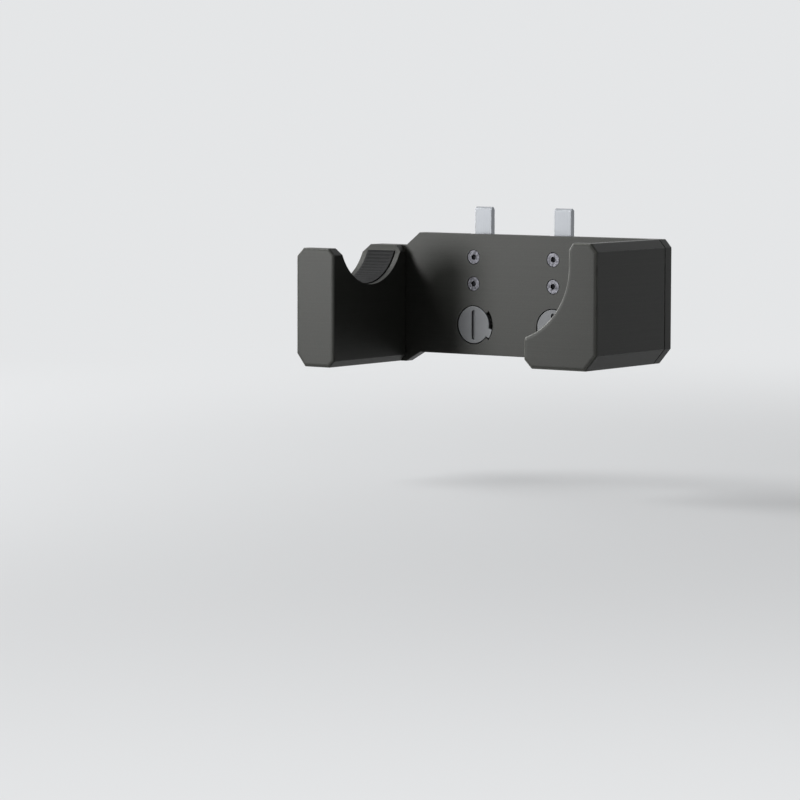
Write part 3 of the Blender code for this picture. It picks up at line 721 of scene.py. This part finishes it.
def overlay(tree, first, second, first_share):
    """Two noise patterns laid over each other, from 0 to 1 in all."""
    shares = ((first, first_share), (second, 1.0 - first_share))
    parts = [span(tree, pattern, NOISE_REACH, to=(0.0, share)) for pattern, share in shares]
    return calculate(tree, "ADD", *parts)


def colour_mix(tree, factor, *colours):
    inputs = {"Factor": factor, **dict(zip(MIX_COLOURS, colours))}
    return add_node(tree, "ShaderNodeMix", inputs, data_type="RGBA").outputs[MIX_RESULT]


def bump(tree, height, distance, strength, under=None):
    inputs = {"Height": height, "Distance": distance, "Strength": strength}
    if under is not None:
        inputs["Normal"] = under
    return add_node(tree, "ShaderNodeBump", inputs).outputs["Normal"]


def worn_and_highlit_edges(tree, place, size, reach):
    """Lighter edges: the mesh's own edge mark, broken up by noise. On metal this is rubbed wear; on
    the plastic it is partly rubbed wear and partly a painted rim highlight.
    """
    mark = add_node(tree, "ShaderNodeAttribute", attribute_name="edge").outputs["Fac"]
    return calculate(tree, "MULTIPLY", mark, span(tree, noise(tree, place, size), reach))


def shade(colour, factor):
    return (*[channel * factor for channel in colour], 1.0)


def coat(tree, shader, colour, rough, relief):
    """Links a finish's patterns to its shader."""
    for name, value in (("Base Color", colour), ("Roughness", rough), ("Normal", relief)):
        tree.links.new(value, shader.inputs[name])


def charcoal_plastic(name, rub_and_highlight):
    """Moulded plastic with a fine eroded grain, faint level lines, and lighter edges, partly rubbed
    wear and partly a painted rim highlight.
    """
    made, tree, shader = new_material(name, roughness=0.42, shine=0.2)
    base = (0.0585, 0.060, 0.0535)
    place = object_place(tree)
    grain = noise(tree, place, size=0.32 * MM)
    drawn = stretched(tree, place, x=60 * MM, y=60 * MM, z=0.7 * MM)
    lines = noise(tree, drawn, size=1.0, detail=3.0)
    tone = overlay(tree, grain, lines, first_share=0.6)
    body = colour_mix(tree, tone, shade(base, 0.86), shade(base, 1.14))
    edge_mark = worn_and_highlit_edges(tree, place, size=5 * MM, reach=(0.2, 0.5))
    # Edges lightened up to 2.4 times the base: partly rubbed wear, partly a painted rim highlight.
    # The second argument sets how strong.
    colour = colour_mix(tree, calculate(tree, "MULTIPLY", edge_mark, rub_and_highlight), body, shade(base, 2.4))
    rough = span(tree, tone, reach=(0.2, 0.8), to=(0.41, 0.43))
    rough = calculate(tree, "MULTIPLY_ADD", edge_mark, -0.12, rough)
    relief = bump(tree, grain, distance=0.02 * MM, strength=0.5)
    relief = bump(tree, lines, distance=0.012 * MM, strength=0.3, under=relief)
    coat(tree, shader, colour, rough, relief)
    return made


def black_rubber():
    """Soft rubber with a dull bloom and dust in its grain."""
    made, tree, shader = new_material("black_rubber", roughness=0.85, shine=0.25)
    base = (0.022, 0.0225, 0.023)
    place = object_place(tree)
    bloom = noise(tree, place, size=6 * MM, detail=3.0)
    grain = noise(tree, place, size=0.25 * MM)
    patches = span(tree, bloom, reach=(0.35, 0.7), to=(0.1, 1.0))
    dust = span(tree, grain, reach=(0.35, 0.65), to=(0.5, 1.0))
    tone = calculate(tree, "MULTIPLY", patches, dust)
    colour = colour_mix(tree, tone, shade(base, 0.75), shade(base, 1.7))
    rough = span(tree, bloom, NOISE_REACH, to=(0.78, 0.92))
    coat(tree, shader, colour, rough, bump(tree, grain, distance=0.03 * MM, strength=0.6))
    return made


def metal(name, base, rough, drawn=(1.0, 1.0, 1.0), patchy=0.3, pits=0.4, rubbed=1.4):
    """Bare or plated metal: drawn lines or pits, an uneven sheen, and brighter rubbed edges."""
    made, tree, shader = new_material(name, rough, metallic=1.0)
    place = object_place(tree)
    clouds = noise(tree, place, size=2.5 * MM, detail=3.0)
    fibres = stretched(tree, place, *[METAL_LINE * share for share in drawn])
    lines = noise(tree, fibres, size=1.0, detail=3.0, rough=0.6)
    tone = overlay(tree, clouds, lines, first_share=patchy)
    body = colour_mix(tree, tone, shade(base, 0.9), shade(base, 1.1))
    edge_mark = worn_and_highlit_edges(tree, place, size=1.2 * MM, reach=(0.3, 0.6))
    uneven = span(tree, tone, reach=(0.2, 0.8), to=(rough - 0.03, rough + 0.03))
    coat(
        tree,
        shader,
        colour_mix(tree, edge_mark, body, shade(base, rubbed)),
        calculate(tree, "MULTIPLY_ADD", edge_mark, -0.06, uneven),
        bump(tree, lines, distance=0.008 * MM, strength=pits),
    )
    return made


METALS = {
    "zinc_plated_steel": dict(base=(0.26, 0.27, 0.285), rough=0.56, drawn=(1.0, 1.0, 30.0)),
    "blackened_steel": dict(base=(0.026, 0.026, 0.029), rough=0.42, patchy=0.5, rubbed=2.5),
    "cast_zinc": dict(base=(0.13, 0.133, 0.137), rough=0.58, patchy=0.5, pits=0.8, rubbed=1.5),
    "spring_steel": dict(base=(0.34, 0.34, 0.35), rough=0.30),
    "brass": dict(base=(0.72, 0.52, 0.22), rough=0.32),
}
FINISHES = {
    "charcoal_plastic": charcoal_plastic("charcoal_plastic", rub_and_highlight=0.25),
    # The tail cradle's finish: edges lightened at full strength, partly rubbed wear and partly a
    # painted rim highlight.
    "rubbed_and_highlit_plastic": charcoal_plastic("rubbed_and_highlit_plastic", rub_and_highlight=1.0),
    "black_rubber": black_rubber(),
    **{name: metal(name, **look) for name, look in METALS.items()},
}


def width_of(face):
    return face.calc_area() / max(max(edge.calc_length() for edge in face.edges), SHORTEST_EDGE)


def bend(edge):
    """How tightly an outer edge turns: its angle over the width of the narrower face beside it."""
    if not edge.is_manifold or edge.calc_face_angle_signed() <= 0.0:
        return 0.0
    narrower = min(width_of(face) for face in edge.link_faces)
    return edge.calc_face_angle_signed() / max(narrower, SHORTEST_EDGE)


def mark_edges(mesh):
    """Stores how tightly the surface turns at each point, for its lighter edges of wear and, on the
    plastic, of a painted rim highlight, and none on flats.
    """
    shape = bmesh.new()
    shape.from_mesh(mesh)
    bends = {edge: bend(edge) for edge in shape.edges}
    layer = shape.verts.layers.float.new("edge")
    for point in shape.verts:
        tightest = max((bends[edge] for edge in point.link_edges), default=0.0)
        if any(width_of(face) > FLAT_WIDTH for face in point.link_faces):
            tightest = 0.0
        point[layer] = min(1.0, max(0.0, (tightest - BEND_START) / (BEND_FULL - BEND_START)))
    shape.to_mesh(mesh)
    shape.free()


def dress(piece, finish, body, *nodes, look=None):
    """Gives a piece its finish and shading, and puts it in the place of its CAD nodes."""
    mesh = piece.data
    mark_edges(mesh)
    mesh.shade_smooth()
    mesh.set_sharp_from_angle(angle=math.radians(SHARP_DEG))
    mesh.materials.clear()
    mesh.materials.append(FINISHES[look or finish])
    even = piece.modifiers.new("even_shading", "WEIGHTED_NORMAL")
    even.keep_sharp = True
    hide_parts(*nodes)
    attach(piece, body)


# Cradles and plate


def middle(node):
    low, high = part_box(node)
    return (low + high) / 2


def insert_pockets(numbers):
    pockets = []
    for number in numbers:
        node = f"cradle_insert_{number}"
        low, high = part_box(node)
        floor_y = high.y - (high.y - low.y) * INSERT_POCKET_SHARE
        place = (middle(node).x, middle(node).z)
        pockets.append(bore(place, INSERT_R + SLIP, high.y + OVERRUN, floor_y))
    return pockets


def liner_groove(centre, radius, start_deg, end_deg, steps):
    """The groove's profile, with a slip round the liner."""
    slack = math.degrees(SLIP / radius)
    start_deg, end_deg = start_deg - slack, end_deg + slack
    inner, outer = radius - OVERRUN, radius + LINER_THICKNESS - LINER_PROUD + SLIP
    return strip_profile(centre, inner, outer, start_deg, end_deg, steps)


def nose_cradle():
    groove = liner_groove(SEAT_CENTRE, SEAT_RADIUS, *NOSE_LINER_SWEEP, SEAT_STEPS)
    seat = trough_profile(UPPER_ROW_Z, UPPER_ROW_Z + OVERRUN)
    cutters = [
        bar(ring_yz, seat, nose_low.x - OVERRUN, nose_high.x + OVERRUN),
        bar(ring_yz, groove, nose_liner_low.x - SLIP, nose_liner_high.x + SLIP),
        *insert_pockets((1, 2)),
    ]
    shape = soften(carve(cradle_block(nose_outline()), cutters), SEAT_EDGE_ROUND)
    dress(plain_object("nose_cradle_block", shape), "charcoal_plastic", "holder", "nose_cradle")


def tail_cradle():
    groove = liner_groove(SCOOP_CENTRE, SCOOP_RADIUS, *TAIL_LINER_SWEEP, SCOOP_STEPS)
    pocket = trough_profile(TAIL_SEAT_Z, tail_high.z + OVERRUN)
    cutters = [
        bar(ring_yz, pocket, SCOOP_CENTRE[0], tail_high.x - TAIL_END_WALL),
        bar(ring_xz, groove, tail_liner_low.y - SLIP, tail_liner_high.y + SLIP),
        *insert_pockets((3, 4)),
    ]
    shape = soften(carve(cradle_block(tail_outline()), cutters), SEAT_EDGE_ROUND)
    piece = plain_object("tail_cradle_block", shape)
    # Its edges take the lighter finish: partly rubbed wear, partly a painted rim highlight.
    dress(piece, "charcoal_plastic", "holder", "tail_cradle", look="rubbed_and_highlit_plastic")


def countersink(centre, screw, face_y, way, far_y):
    """The hole for a countersunk screw whose head's face is at face_y."""
    wide = circle(screw["head_r"] + SLIP, SCREW_SIDES, centre)
    narrow = circle(screw["shank_r"] + SLIP, SCREW_SIDES, centre)
    rings = [
        (wide, face_y - way * OVERRUN),
        (wide, face_y + way * (screw["rim"] + SLIP)),
        (narrow, face_y + way * (screw["head"] + SLIP)),
        (narrow, far_y),
    ]
    return loft([ring_xz(points, y) for points, y in rings])


def lock_recess(x, floor_y):
    """The counterbore for a cam's head, with the pocket in which its stop tab travels."""
    reach = CAM_HEAD_R + CAM_TAB_REACH + SEAM
    slack = math.degrees(SEAM / (CAM_HEAD_R + CAM_TAB_REACH))
    end = LOCK_TURN_DEG / 2 + CAM_TAB_HALF_DEG + CAM_TAB_FLANK_DEG + slack
    pocket = arc((x, LOWER_ROW_Z), reach, -end, end, SCOOP_STEPS)
    counterbore = arc((x, LOWER_ROW_Z), CAM_HEAD_R + SEAM, end, 360.0 - end, CAM_SIDES)
    return bar(ring_xz, pocket + counterbore, PLATE_FRONT_Y - OVERRUN, floor_y)


def wall_plate():
    outline = plate_outline()
    front = round_edge(outline, PLATE_FRONT_Y, PLATE_FRONT_ROUND)[::-1]
    back = [
        ring_xz(rounded(outline, LONG_EDGE_ROUND), plate_high.y - PLATE_BACK_BEVEL),
        ring_xz(rounded(inset(outline, PLATE_BACK_BEVEL), LONG_EDGE_ROUND), plate_high.y),
    ]
    cutters = []
    for node in numbered("cradle_screw"):
        place = (middle(node).x, middle(node).z)
        cutters.append(countersink(place, CRADLE_SCREW, -HEAD_INSET, -1, PLATE_FRONT_Y - OVERRUN))
    floor_y = PLATE_FRONT_Y + HEAD_INSET + CAM_HEAD + WASHER_SPACE
    for side, x in COLUMNS.items():
        low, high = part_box(f"hook_{side}")
        recess_low = (low.x - SEAM, low.y - SEAM, low.z - SEAM)
        recess_high = (high.x + SEAM, OVERRUN, plate_high.z + OVERRUN)
        cutters.append(block(recess_low, recess_high))
        for drop in HOOK_SCREW_DROPS:
            place = (x, HOOK_NECK_Z - drop)
            cutters.append(countersink(place, HOOK_SCREW, PLATE_FRONT_Y + HEAD_INSET, 1, OVERRUN))
        cutters.append(lock_recess(x, floor_y))
        centre, radius = (x, LOWER_ROW_Z), CAM_SHANK_R + SLIP
        cutters.append(bore(centre, radius, floor_y - OVERRUN / 4, OVERRUN, CAM_SIDES))
    shape = soften(carve(loft(front + back), cutters), HOLE_EDGE_ROUND)
    dress(plain_object("wall_plate_body", shape), "charcoal_plastic", "holder", "wall_plate")


# Liners


def liner(node, make_ring, run, centre, radius, sweep, first_rib_deg):
    """A curved strip with whole ribs pressed into its inner face, which fade out at its ends."""
    inner = radius - LINER_PROUD
    sweep_angle = math.radians(sweep[1] - sweep[0])
    ribs = round(sweep_angle * inner / RIB_PITCH)
    strip = strip_profile(centre, inner, inner + LINER_THICKNESS, *sweep, ribs * RIB_POINTS)
    low, high = run
    stations = [low + i * RIB_PITCH for i in range(3)]
    stations += [high - i * RIB_PITCH for i in (2, 1, 0)]
    shape = soften(loft([make_ring(strip, place) for place in stations]), LINER_EDGE_ROUND)
    first_rib = around((0.0, 0.0), 1.0, math.radians(first_rib_deg))
    values = {
        "Centre": tuple(make_ring([centre], (low + high) / 2)[0]),
        "Axis": tuple(make_ring([(0.0, 0.0)], 1.0)[0]),
        "Across": tuple(make_ring([first_rib], 0.0)[0]),
        "Waves": ribs * 2 * math.pi / sweep_angle,
        "Slant": 0.0,
        "Depth": RIB_DEPTH,
        "Inner": inner - SLIP,
        "Outer": inner + SLIP / 2,
        "Start": (low - high) / 2,
        "End": (high - low) / 2,
        "Fade": RIB_PITCH,
        "Finish": FINISHES["black_rubber"],
    }
    dress(grow(f"{node}_strip", WAVES, values, shape), "black_rubber", "holder", node)


def nose_liner():
    run, curve = (nose_liner_low.x, nose_liner_high.x), (SEAT_CENTRE, SEAT_RADIUS)
    liner("nose_liner", ring_yz, run, *curve, NOSE_LINER_SWEEP, NOSE_LINER_SWEEP[0])


def tail_liner():
    run, curve = (tail_liner_low.y, tail_liner_high.y), (SCOOP_CENTRE, SCOOP_RADIUS)
    liner("tail_liner", ring_xz, run, *curve, TAIL_LINER_SWEEP, TAIL_LINER_SWEEP[1])


# Hooks


def hook_profile(low, high):
    """The bent strip from the side, as (y, z) points: leg, neck and upturned tip."""
    steel, neck_z = HOOK_STEEL, HOOK_NECK_Z
    neck_top = neck_z + steel
    tip_front = high.y - steel
    chamfer = HOOK_TIP_CHAMFER
    return [
        (0.0, low.z),
        (0.0, neck_z),
        (tip_front, neck_z),
        *arc((tip_front, neck_top), steel, 270.0, 360.0, HOOK_BEND_STEPS)[1:],
        (high.y, high.z - chamfer),
        (high.y - chamfer, high.z),
        (tip_front + chamfer, high.z),
        (tip_front, high.z - chamfer),
        (tip_front, neck_top),
        *arc((0.0, neck_z), steel, 90.0, 180.0, HOOK_BEND_STEPS),
        (-steel, low.z),
    ]


def hook(side):
    low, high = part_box(f"hook_{side}")
    strip = bar(ring_yz, hook_profile(low, high), low.x, high.x)
    places = [(COLUMNS[side], HOOK_NECK_Z - drop) for drop in HOOK_SCREW_DROPS]
    radius = HOOK_SCREW["shank_r"] + SLIP
    holes = [bore(place, radius, low.y - OVERRUN, OVERRUN) for place in places]
    shape = soften(carve(strip, holes), HOOK_EDGE_ROUND)
    dress(plain_object(f"hook_strip_{side}", shape), "zinc_plated_steel", "holder", f"hook_{side}")


# Screws and inserts


ON_Y_AXIS = {"Centre": (0, 0, 0), "Axis": (0, 1, 0), "Across": (1, 0, 0)}


def shank_levels(start, end, pitch):
    """Evenly spaced places along a shank, close enough together to draw its thread."""
    count = max(2, round((end - start) / pitch * RINGS_PER_THREAD))
    return [start + (end - start) * i / count for i in range(count + 1)]


def threaded(name, shape, radius, pitch, start, end):
    """Cuts a thread into a shank on the Y axis."""
    values = {
        **ON_Y_AXIS,
        "Waves": 1.0,
        "Slant": -2 * math.pi / pitch,
        "Depth": -pitch * THREAD_DEPTH_SHARE,
        "Inner": radius - SLIP / 4,
        "Outer": radius + SLIP / 4,
        "Start": start,
        "End": end,
        "Fade": pitch,
        "Finish": FINISHES["blackened_steel"],
    }
    return grow(name, WAVES, values, shape)


def hex_socket(width, depth, mouth_y, inwards):
    """Rings down into a hexagon socket, from a centre dimple at its floor to its broken mouth."""
    across = (width * SOCKET_POINT_SHARE, width, width, width + 2 * SCREW_EDGE)
    deep = (depth + SOCKET_POINT, depth, SCREW_EDGE, 0.0)
    return [(polygon(a, 6, SCREW_SIDES), mouth_y + inwards * d) for a, d in zip(across, deep)]


def countersunk_screw(name, sizes, length, way):
    """A countersunk socket screw on the Y axis, from its head's face at zero along way times Y."""
    head_r, head, shank_r, pitch = (sizes[key] for key in ("head_r", "head", "shank_r", "pitch"))
    rings = hex_socket(sizes["socket"], sizes["socket_depth"], 0.0, 1)
    rings += [
        (circle(head_r - SCREW_EDGE, SCREW_SIDES), 0.0),
        (circle(head_r, SCREW_SIDES), SCREW_EDGE),
        (circle(head_r, SCREW_SIDES), sizes["rim"]),
    ]
    thread_end = length - TIP_CHAMFER
    rings += [(circle(shank_r, SCREW_SIDES), y) for y in shank_levels(head, thread_end, pitch)]
    rings.append((circle(shank_r - TIP_CHAMFER, SCREW_SIDES), length))
    shape = loft([ring_xz(points, way * y) for points, y in rings])
    ends = sorted((way * head, way * thread_end))
    return threaded(name, shape, shank_r, pitch, *ends)


def set_out(name, piece, places, finish, body, nodes, seed=0, most_turn=2 * math.pi):
    """Copies of a piece at the places, as one dressed mesh."""
    points = bmesh.new()
    for place in places:
        points.verts.new(place)
    values = {"Piece": piece, "Most Turn": most_turn, "Seed": seed, "Finish": FINISHES[finish]}
    made = grow(name, SET_OUT, values, points)
    bpy.data.objects.remove(piece, do_unlink=True)
    dress(made, finish, body, *nodes)


def numbered(name):
    return [f"{name}_{number}" for number in range(1, 5)]


def middles(nodes, y):
    """The middles of the nodes, all at y."""
    return [(middle(node).x, y, middle(node).z) for node in nodes]


def plate_screws(kind, sizes, way, seed):
    """The four countersunk screws of a kind, driven along way times Y."""
    nodes = numbered(kind)
    low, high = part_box(nodes[0])
    screw = countersunk_screw(f"{kind}_shape", sizes, high.y - low.y, way)
    places = middles(nodes, low.y if way > 0 else high.y)
    set_out(f"{kind}s", screw, places, "blackened_steel", "holder", nodes, seed)


def cradle_inserts():
    """Brass inserts with slanted knurls on the bands between their grooves."""
    nodes = numbered("cradle_insert")
    low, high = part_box(nodes[0])
    length, edge = high.y - low.y, INSERT_EDGE
    band = (length - (INSERT_BANDS - 1) * INSERT_GROOVE_WIDTH) / INSERT_BANDS
    groove_r = INSERT_R - INSERT_GROOVE_DEPTH
    profile = [(INSERT_HOLE_R, 0.0), (INSERT_R - edge, 0.0)]
    start = 0.0
    for _ in range(INSERT_BANDS):
        end = start + band
        flat = band - 2 * edge
        shares = [i / INSERT_BAND_STEPS for i in range(INSERT_BAND_STEPS + 1)]
        profile += [(INSERT_R, start + edge + flat * share) for share in shares]
        profile.append((INSERT_R - edge, end))
        start = end + INSERT_GROOVE_WIDTH
        if end < length - edge:
            profile += [(groove_r, end + edge), (groove_r, start - edge), (INSERT_R - edge, start)]
    profile.append((INSERT_HOLE_R, length))
    rings = [ring_xz(circle(radius, INSERT_SIDES), -y) for radius, y in profile]
    knurl = {
        **ON_Y_AXIS,
        "Waves": float(INSERT_TEETH),
        "Slant": INSERT_TEETH / INSERT_R * INSERT_SLANT,
        "Depth": -INSERT_TOOTH_DEPTH,
        "Inner": INSERT_R - edge / 2,
        "Outer": INSERT_R + edge,
        "Start": -length,
        "End": 0.0,
        "Fade": edge,
        "Finish": FINISHES["brass"],
    }
    insert = grow("cradle_insert_shape", WAVES, knurl, loft(rings, closed=True))
    set_out("cradle_inserts", insert, middles(nodes, high.y), "brass", "holder", nodes, seed=5)


# Locks


def cam_radius(angle):
    """The cam head's radius, which grows at the stop tab."""
    off = abs((angle + LOCK_TURN_DEG / 2 + 180.0) % 360.0 - 180.0)
    rise = (CAM_TAB_HALF_DEG + CAM_TAB_FLANK_DEG - off) / CAM_TAB_FLANK_DEG
    rise = min(1.0, max(0.0, rise))
    return CAM_HEAD_R + CAM_TAB_REACH * rise * rise * (3 - 2 * rise)


def cam_angles():
    """Directions of the points round a cam, with those that its stop tab's flanks need."""
    tab = -LOCK_TURN_DEG / 2
    regular = [360.0 * i / CAM_SIDES for i in range(CAM_SIDES)]
    steps = CAM_TAB_FLANK_STEPS
    flank = [CAM_TAB_HALF_DEG + CAM_TAB_FLANK_DEG * i / steps for i in range(steps + 1)]
    extra = [(tab + side * off) % 360.0 for side in (-1, 1) for off in flank]
    clear = [angle for angle in regular if all(abs(angle - at) > CAM_SPACING_DEG for at in extra)]
    return sorted(clear + extra)


def lock_cam(side, x):
    low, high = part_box(f"lock_cam_{side}")
    screw_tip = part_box(f"lock_screw_{side}")[0].y
    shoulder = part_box(f"lock_dog_{side}")[0].y - SLIP
    head_front, head_back = low.y, low.y + CAM_HEAD
    edge = CAM_SOFT_EDGE
    rounding = quarter_round(CAM_EDGE, ROUND_STEPS)
    levels = [
        *[(cam_radius, less, head_front + back) for less, back in rounding],
        (cam_radius, 0.0, head_back - edge),
        (cam_radius, edge, head_back),
        (lambda angle: CAM_SHANK_R, 0.0, head_back),
        (lambda angle: CAM_SHANK_R, 0.0, shoulder - CAM_EDGE),
        (lambda angle: CAM_SHANK_R, CAM_EDGE, shoulder),
        (square_radius, 0.0, shoulder),
        (square_radius, 0.0, high.y - edge),
        (square_radius, edge, high.y),
        (lambda angle: LOCK_SCREW_SHANK_R + SLIP, 0.0, high.y),
        (lambda angle: LOCK_SCREW_SHANK_R + SLIP, 0.0, screw_tip - SEAM),
    ]
    angles = cam_angles()
    rings = []
    for radius_at, less, y in levels:
        radii = [(angle, radius_at(angle) - less) for angle in angles]
        points = [around((x, LOWER_ROW_Z), radius, math.radians(angle)) for angle, radius in radii]
        rings.append(ring_xz(points, y))
    end, radius = CAM_SLOT_LENGTH / 2 - CAM_SLOT_WIDTH / 2, CAM_SLOT_WIDTH / 2
    slot = arc((x, LOWER_ROW_Z + end), radius, 0.0, 180.0, CAM_SLOT_STEPS)
    slot += arc((x, LOWER_ROW_Z - end), radius, 180.0, 360.0, CAM_SLOT_STEPS)
    slot_cutter = bar(ring_xz, slot, head_front - OVERRUN, head_front + CAM_SLOT_DEPTH)
    shape = soften(carve(loft(rings), [slot_cutter]), edge)
    piece = plain_object(f"lock_cam_{side}_casting", shape)
    dress(piece, "cast_zinc", f"lock_{side}", f"lock_cam_{side}")


def square_radius(angle):
    """The radius of the cam's square end, whose corners point along X and Z and are just cut."""
    flat = polygon_radius(CAM_SQUARE, 4, math.radians(angle))
    return min(flat, CAM_SQUARE / math.sqrt(2) - CAM_SOFT_EDGE)


def square_with_cut_corners(across_flats, corner_cut, centre):
    """A square with a corner along each axis, and its corners cut off by the given amount."""
    corner = across_flats / math.sqrt(2)
    points = []
    for quarter in range(4):
        spin = Matrix.Rotation(math.radians(90.0 * quarter), 2)
        for side in (-1, 1):
            point = spin @ Vector((corner - corner_cut, side * corner_cut))
            points.append(tuple(Vector(centre) + point))
    return points


def lock_dog(side, x):
    """A square dog. Its corners stand over the sides of the board's hole while it is locked."""
    low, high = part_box(f"lock_dog_{side}")
    outer = square_with_cut_corners(DOG_SIDE, DOG_CORNER, (x, LOWER_ROW_Z))
    inner = square_with_cut_corners(CAM_SQUARE + 2 * SLIP, SLIP, (x, LOWER_ROW_Z))
    loops = ((outer, low.y), (outer, high.y), (inner, high.y), (inner, low.y))
    shape = soften(loft([ring_xz(points, y) for points, y in loops], closed=True), DOG_EDGE_ROUND)
    piece = plain_object(f"lock_dog_{side}_casting", shape)
    dress(piece, "cast_zinc", f"lock_{side}", f"lock_dog_{side}")


def lock_screw(side, x):
    """A flanged socket screw from the back, which holds the dog on the cam's square end."""
    low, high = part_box(f"lock_screw_{side}")
    under = high.y - LOCK_SCREW_HEAD
    head_r, shank_r = LOCK_SCREW_HEAD_R, LOCK_SCREW_SHANK_R
    length = under - low.y
    thread_end = length - TIP_CHAMFER
    dome = quarter_round(LOCK_SCREW_HEAD_ROUND, DOME_STEPS)
    profile = [
        *[(head_r - less, LOCK_SCREW_HEAD - back) for less, back in dome],
        (head_r, SCREW_EDGE),
        (head_r - SCREW_EDGE, 0.0),
        *[(shank_r, -y) for y in shank_levels(0.0, thread_end, LOCK_SCREW_PITCH)],
        (shank_r - TIP_CHAMFER, -length),
    ]
    rings = hex_socket(LOCK_SCREW_SOCKET, LOCK_SCREW_SOCKET_DEPTH, LOCK_SCREW_HEAD, -1)
    rings += [(circle(radius, SCREW_SIDES), y) for radius, y in profile]
    shape = loft([ring_xz(points, y) for points, y in rings])
    screw = threaded("lock_screw_shape", shape, shank_r, LOCK_SCREW_PITCH, -thread_end, 0.0)
    name, node = f"lock_screw_{side}_black", f"lock_screw_{side}"
    places = [(x, under, LOWER_ROW_Z)]
    seed = LOCK_SCREW_SEEDS[side]
    set_out(name, screw, places, "blackened_steel", f"lock_{side}", [node], seed)


def lock_washers():
    """Wave washers between the cams' heads and the floors of their counterbores."""
    nodes = ["lock_washer_left", "lock_washer_right"]
    outer, inner = CAM_HEAD_R - SEAM, CAM_SHANK_R + SEAM
    edge = WASHER_EDGE
    half = WASHER_STEEL / 2
    corners = [
        (outer - edge, -half),
        (outer, edge - half),
        (outer, half - edge),
        (outer - edge, half),
        (inner + edge, half),
        (inner, half - edge),
        (inner, edge - half),
        (inner + edge, -half),
    ]
    rings = []
    for radius, off in corners:
        ring = ring_xz(circle(radius, WASHER_STEPS), 0.0)
        for i, point in enumerate(ring):
            turn = 2 * math.pi * i / WASHER_STEPS
            point.y = off + WASHER_WAVE * math.sin(WASHER_WAVES * turn)
        rings.append(ring)
    washer = plain_object("lock_washer_shape", loft(rings, closed=True))
    places = [middle(node) for node in nodes]
    set_out("lock_washers", washer, places, "spring_steel", "holder", nodes, most_turn=0.0)


# Studio


def camera():
    data = bpy.data.cameras.new("photo_camera")
    data.lens = CAMERA_LENS
    data.clip_start, data.clip_end = CAMERA_CLIP
    made = new_object("photo_camera", data)
    turn, tilt = math.radians(CAMERA_AZIMUTH_DEG), math.radians(CAMERA_ELEVATION_DEG)
    flat = math.cos(tilt)
    ahead = Vector((-math.sin(turn) * flat, math.cos(turn) * flat, -math.sin(tilt)))
    aim = ahead.to_track_quat("-Z", "Y").to_matrix().to_4x4()
    roll = Matrix.Rotation(math.radians(CAMERA_ROLL_DEG), 4, "Z")
    made.matrix_world = Matrix.Translation(CAMERA_PLACE) @ aim @ roll
    bpy.context.scene.camera = made


def lamp(name, place, size, watts, diffuse):
    data = bpy.data.lights.new(name, "AREA")
    data.shape = "DISK"
    data.size = size
    data.energy = watts
    made = new_object(name, data)
    aim = (Vector(LAMP_TARGET) - Vector(place)).to_track_quat("-Z", "Y").to_matrix().to_4x4()
    made.matrix_world = Matrix.Translation(place) @ aim
    made.visible_camera = False
    made.visible_diffuse = diffuse


def seen(tree):
    """One for rays from the camera, from gloss and metal, and through glass, else zero."""
    path = add_node(tree, "ShaderNodeLightPath").outputs
    through = calculate(tree, "MAXIMUM", path["Is Camera Ray"], path["Is Transmission Ray"])
    return calculate(tree, "MAXIMUM", through, path["Is Glossy Ray"])


def room_level(tree, direction):
    """How pale the room is that way. It is seen pale all round, and lights from one side."""
    along = dot(tree, vectors(tree, "NORMALIZE", direction), ROOM_AXIS)
    level = span(tree, along, ROOM_REACH, curve="SMOOTHSTEP")
    return calculate(tree, "MAXIMUM", level, seen(tree))


def backdrop():
    world = bpy.data.worlds.new("studio")
    world.use_nodes = True
    tree = world.node_tree
    tree.nodes.clear()
    direction = add_node(tree, "ShaderNodeTexCoord").outputs["Generated"]
    inputs = {"Color": shade(PALE, 1.0), "Strength": room_level(tree, direction)}
    pale = add_node(tree, "ShaderNodeBackground", inputs)
    add_node(tree, "ShaderNodeOutputWorld", {"Surface": pale.outputs[0]})
    bpy.context.scene.world = world


def floor_material():
    """A pale floor that takes the shadow near the part and fades into the backdrop further out."""
    made = bpy.data.materials.new("studio_floor")
    made.use_nodes = True
    tree = made.node_tree
    tree.nodes.clear()
    radius = vectors(tree, "LENGTH", object_place(tree), number=True)
    fade = span(tree, radius, FADE_REACH, to=(FLOOR_GLOW, 1.0), curve="SMOOTHSTEP")
    lit = add_node(tree, "ShaderNodeBsdfDiffuse", {"Color": shade(PALE, 1.0)})
    far = add_node(tree, "ShaderNodeEmission", {"Color": shade(PALE, 1.0)})
    shown = add_node(tree, "ShaderNodeMixShader", {0: fade, 1: lit.outputs[0], 2: far.outputs[0]})
    unseen = add_node(tree, "ShaderNodeBsdfDiffuse", {"Color": shade(PALE, FLOOR_BOUNCE)})
    mixed = {0: seen(tree), 1: unseen.outputs[0], 2: shown.outputs[0]}
    both = add_node(tree, "ShaderNodeMixShader", mixed)
    add_node(tree, "ShaderNodeOutputMaterial", {"Surface": both.outputs[0]})
    return made


def floor():
    level = cad_box[0][2] - FLOOR_DROP
    half = FLOOR_SIZE / 2
    shape = bmesh.new()
    corners = [(-half, -half), (half, -half), (half, half), (-half, half)]
    shape.faces.new([shape.verts.new((x, y, level)) for x, y in corners])
    made = plain_object("studio_floor", shape)
    made.data.materials.append(floor_material())


def studio():
    camera()
    for name, settings in LAMPS.items():
        lamp(name, *settings)
    backdrop()
    floor()
    bpy.context.scene.view_settings.view_transform = "Standard"


def main():
    studio()
    nose_cradle()
    tail_cradle()
    wall_plate()
    nose_liner()
    tail_liner()
    for side in COLUMNS:
        hook(side)
    plate_screws("cradle_screw", CRADLE_SCREW, way=-1, seed=3)
    plate_screws("hook_screw", HOOK_SCREW, way=1, seed=8)
    cradle_inserts()
    for side, x in COLUMNS.items():
        lock_cam(side, x)
        lock_dog(side, x)
        lock_screw(side, x)
    lock_washers()


main()
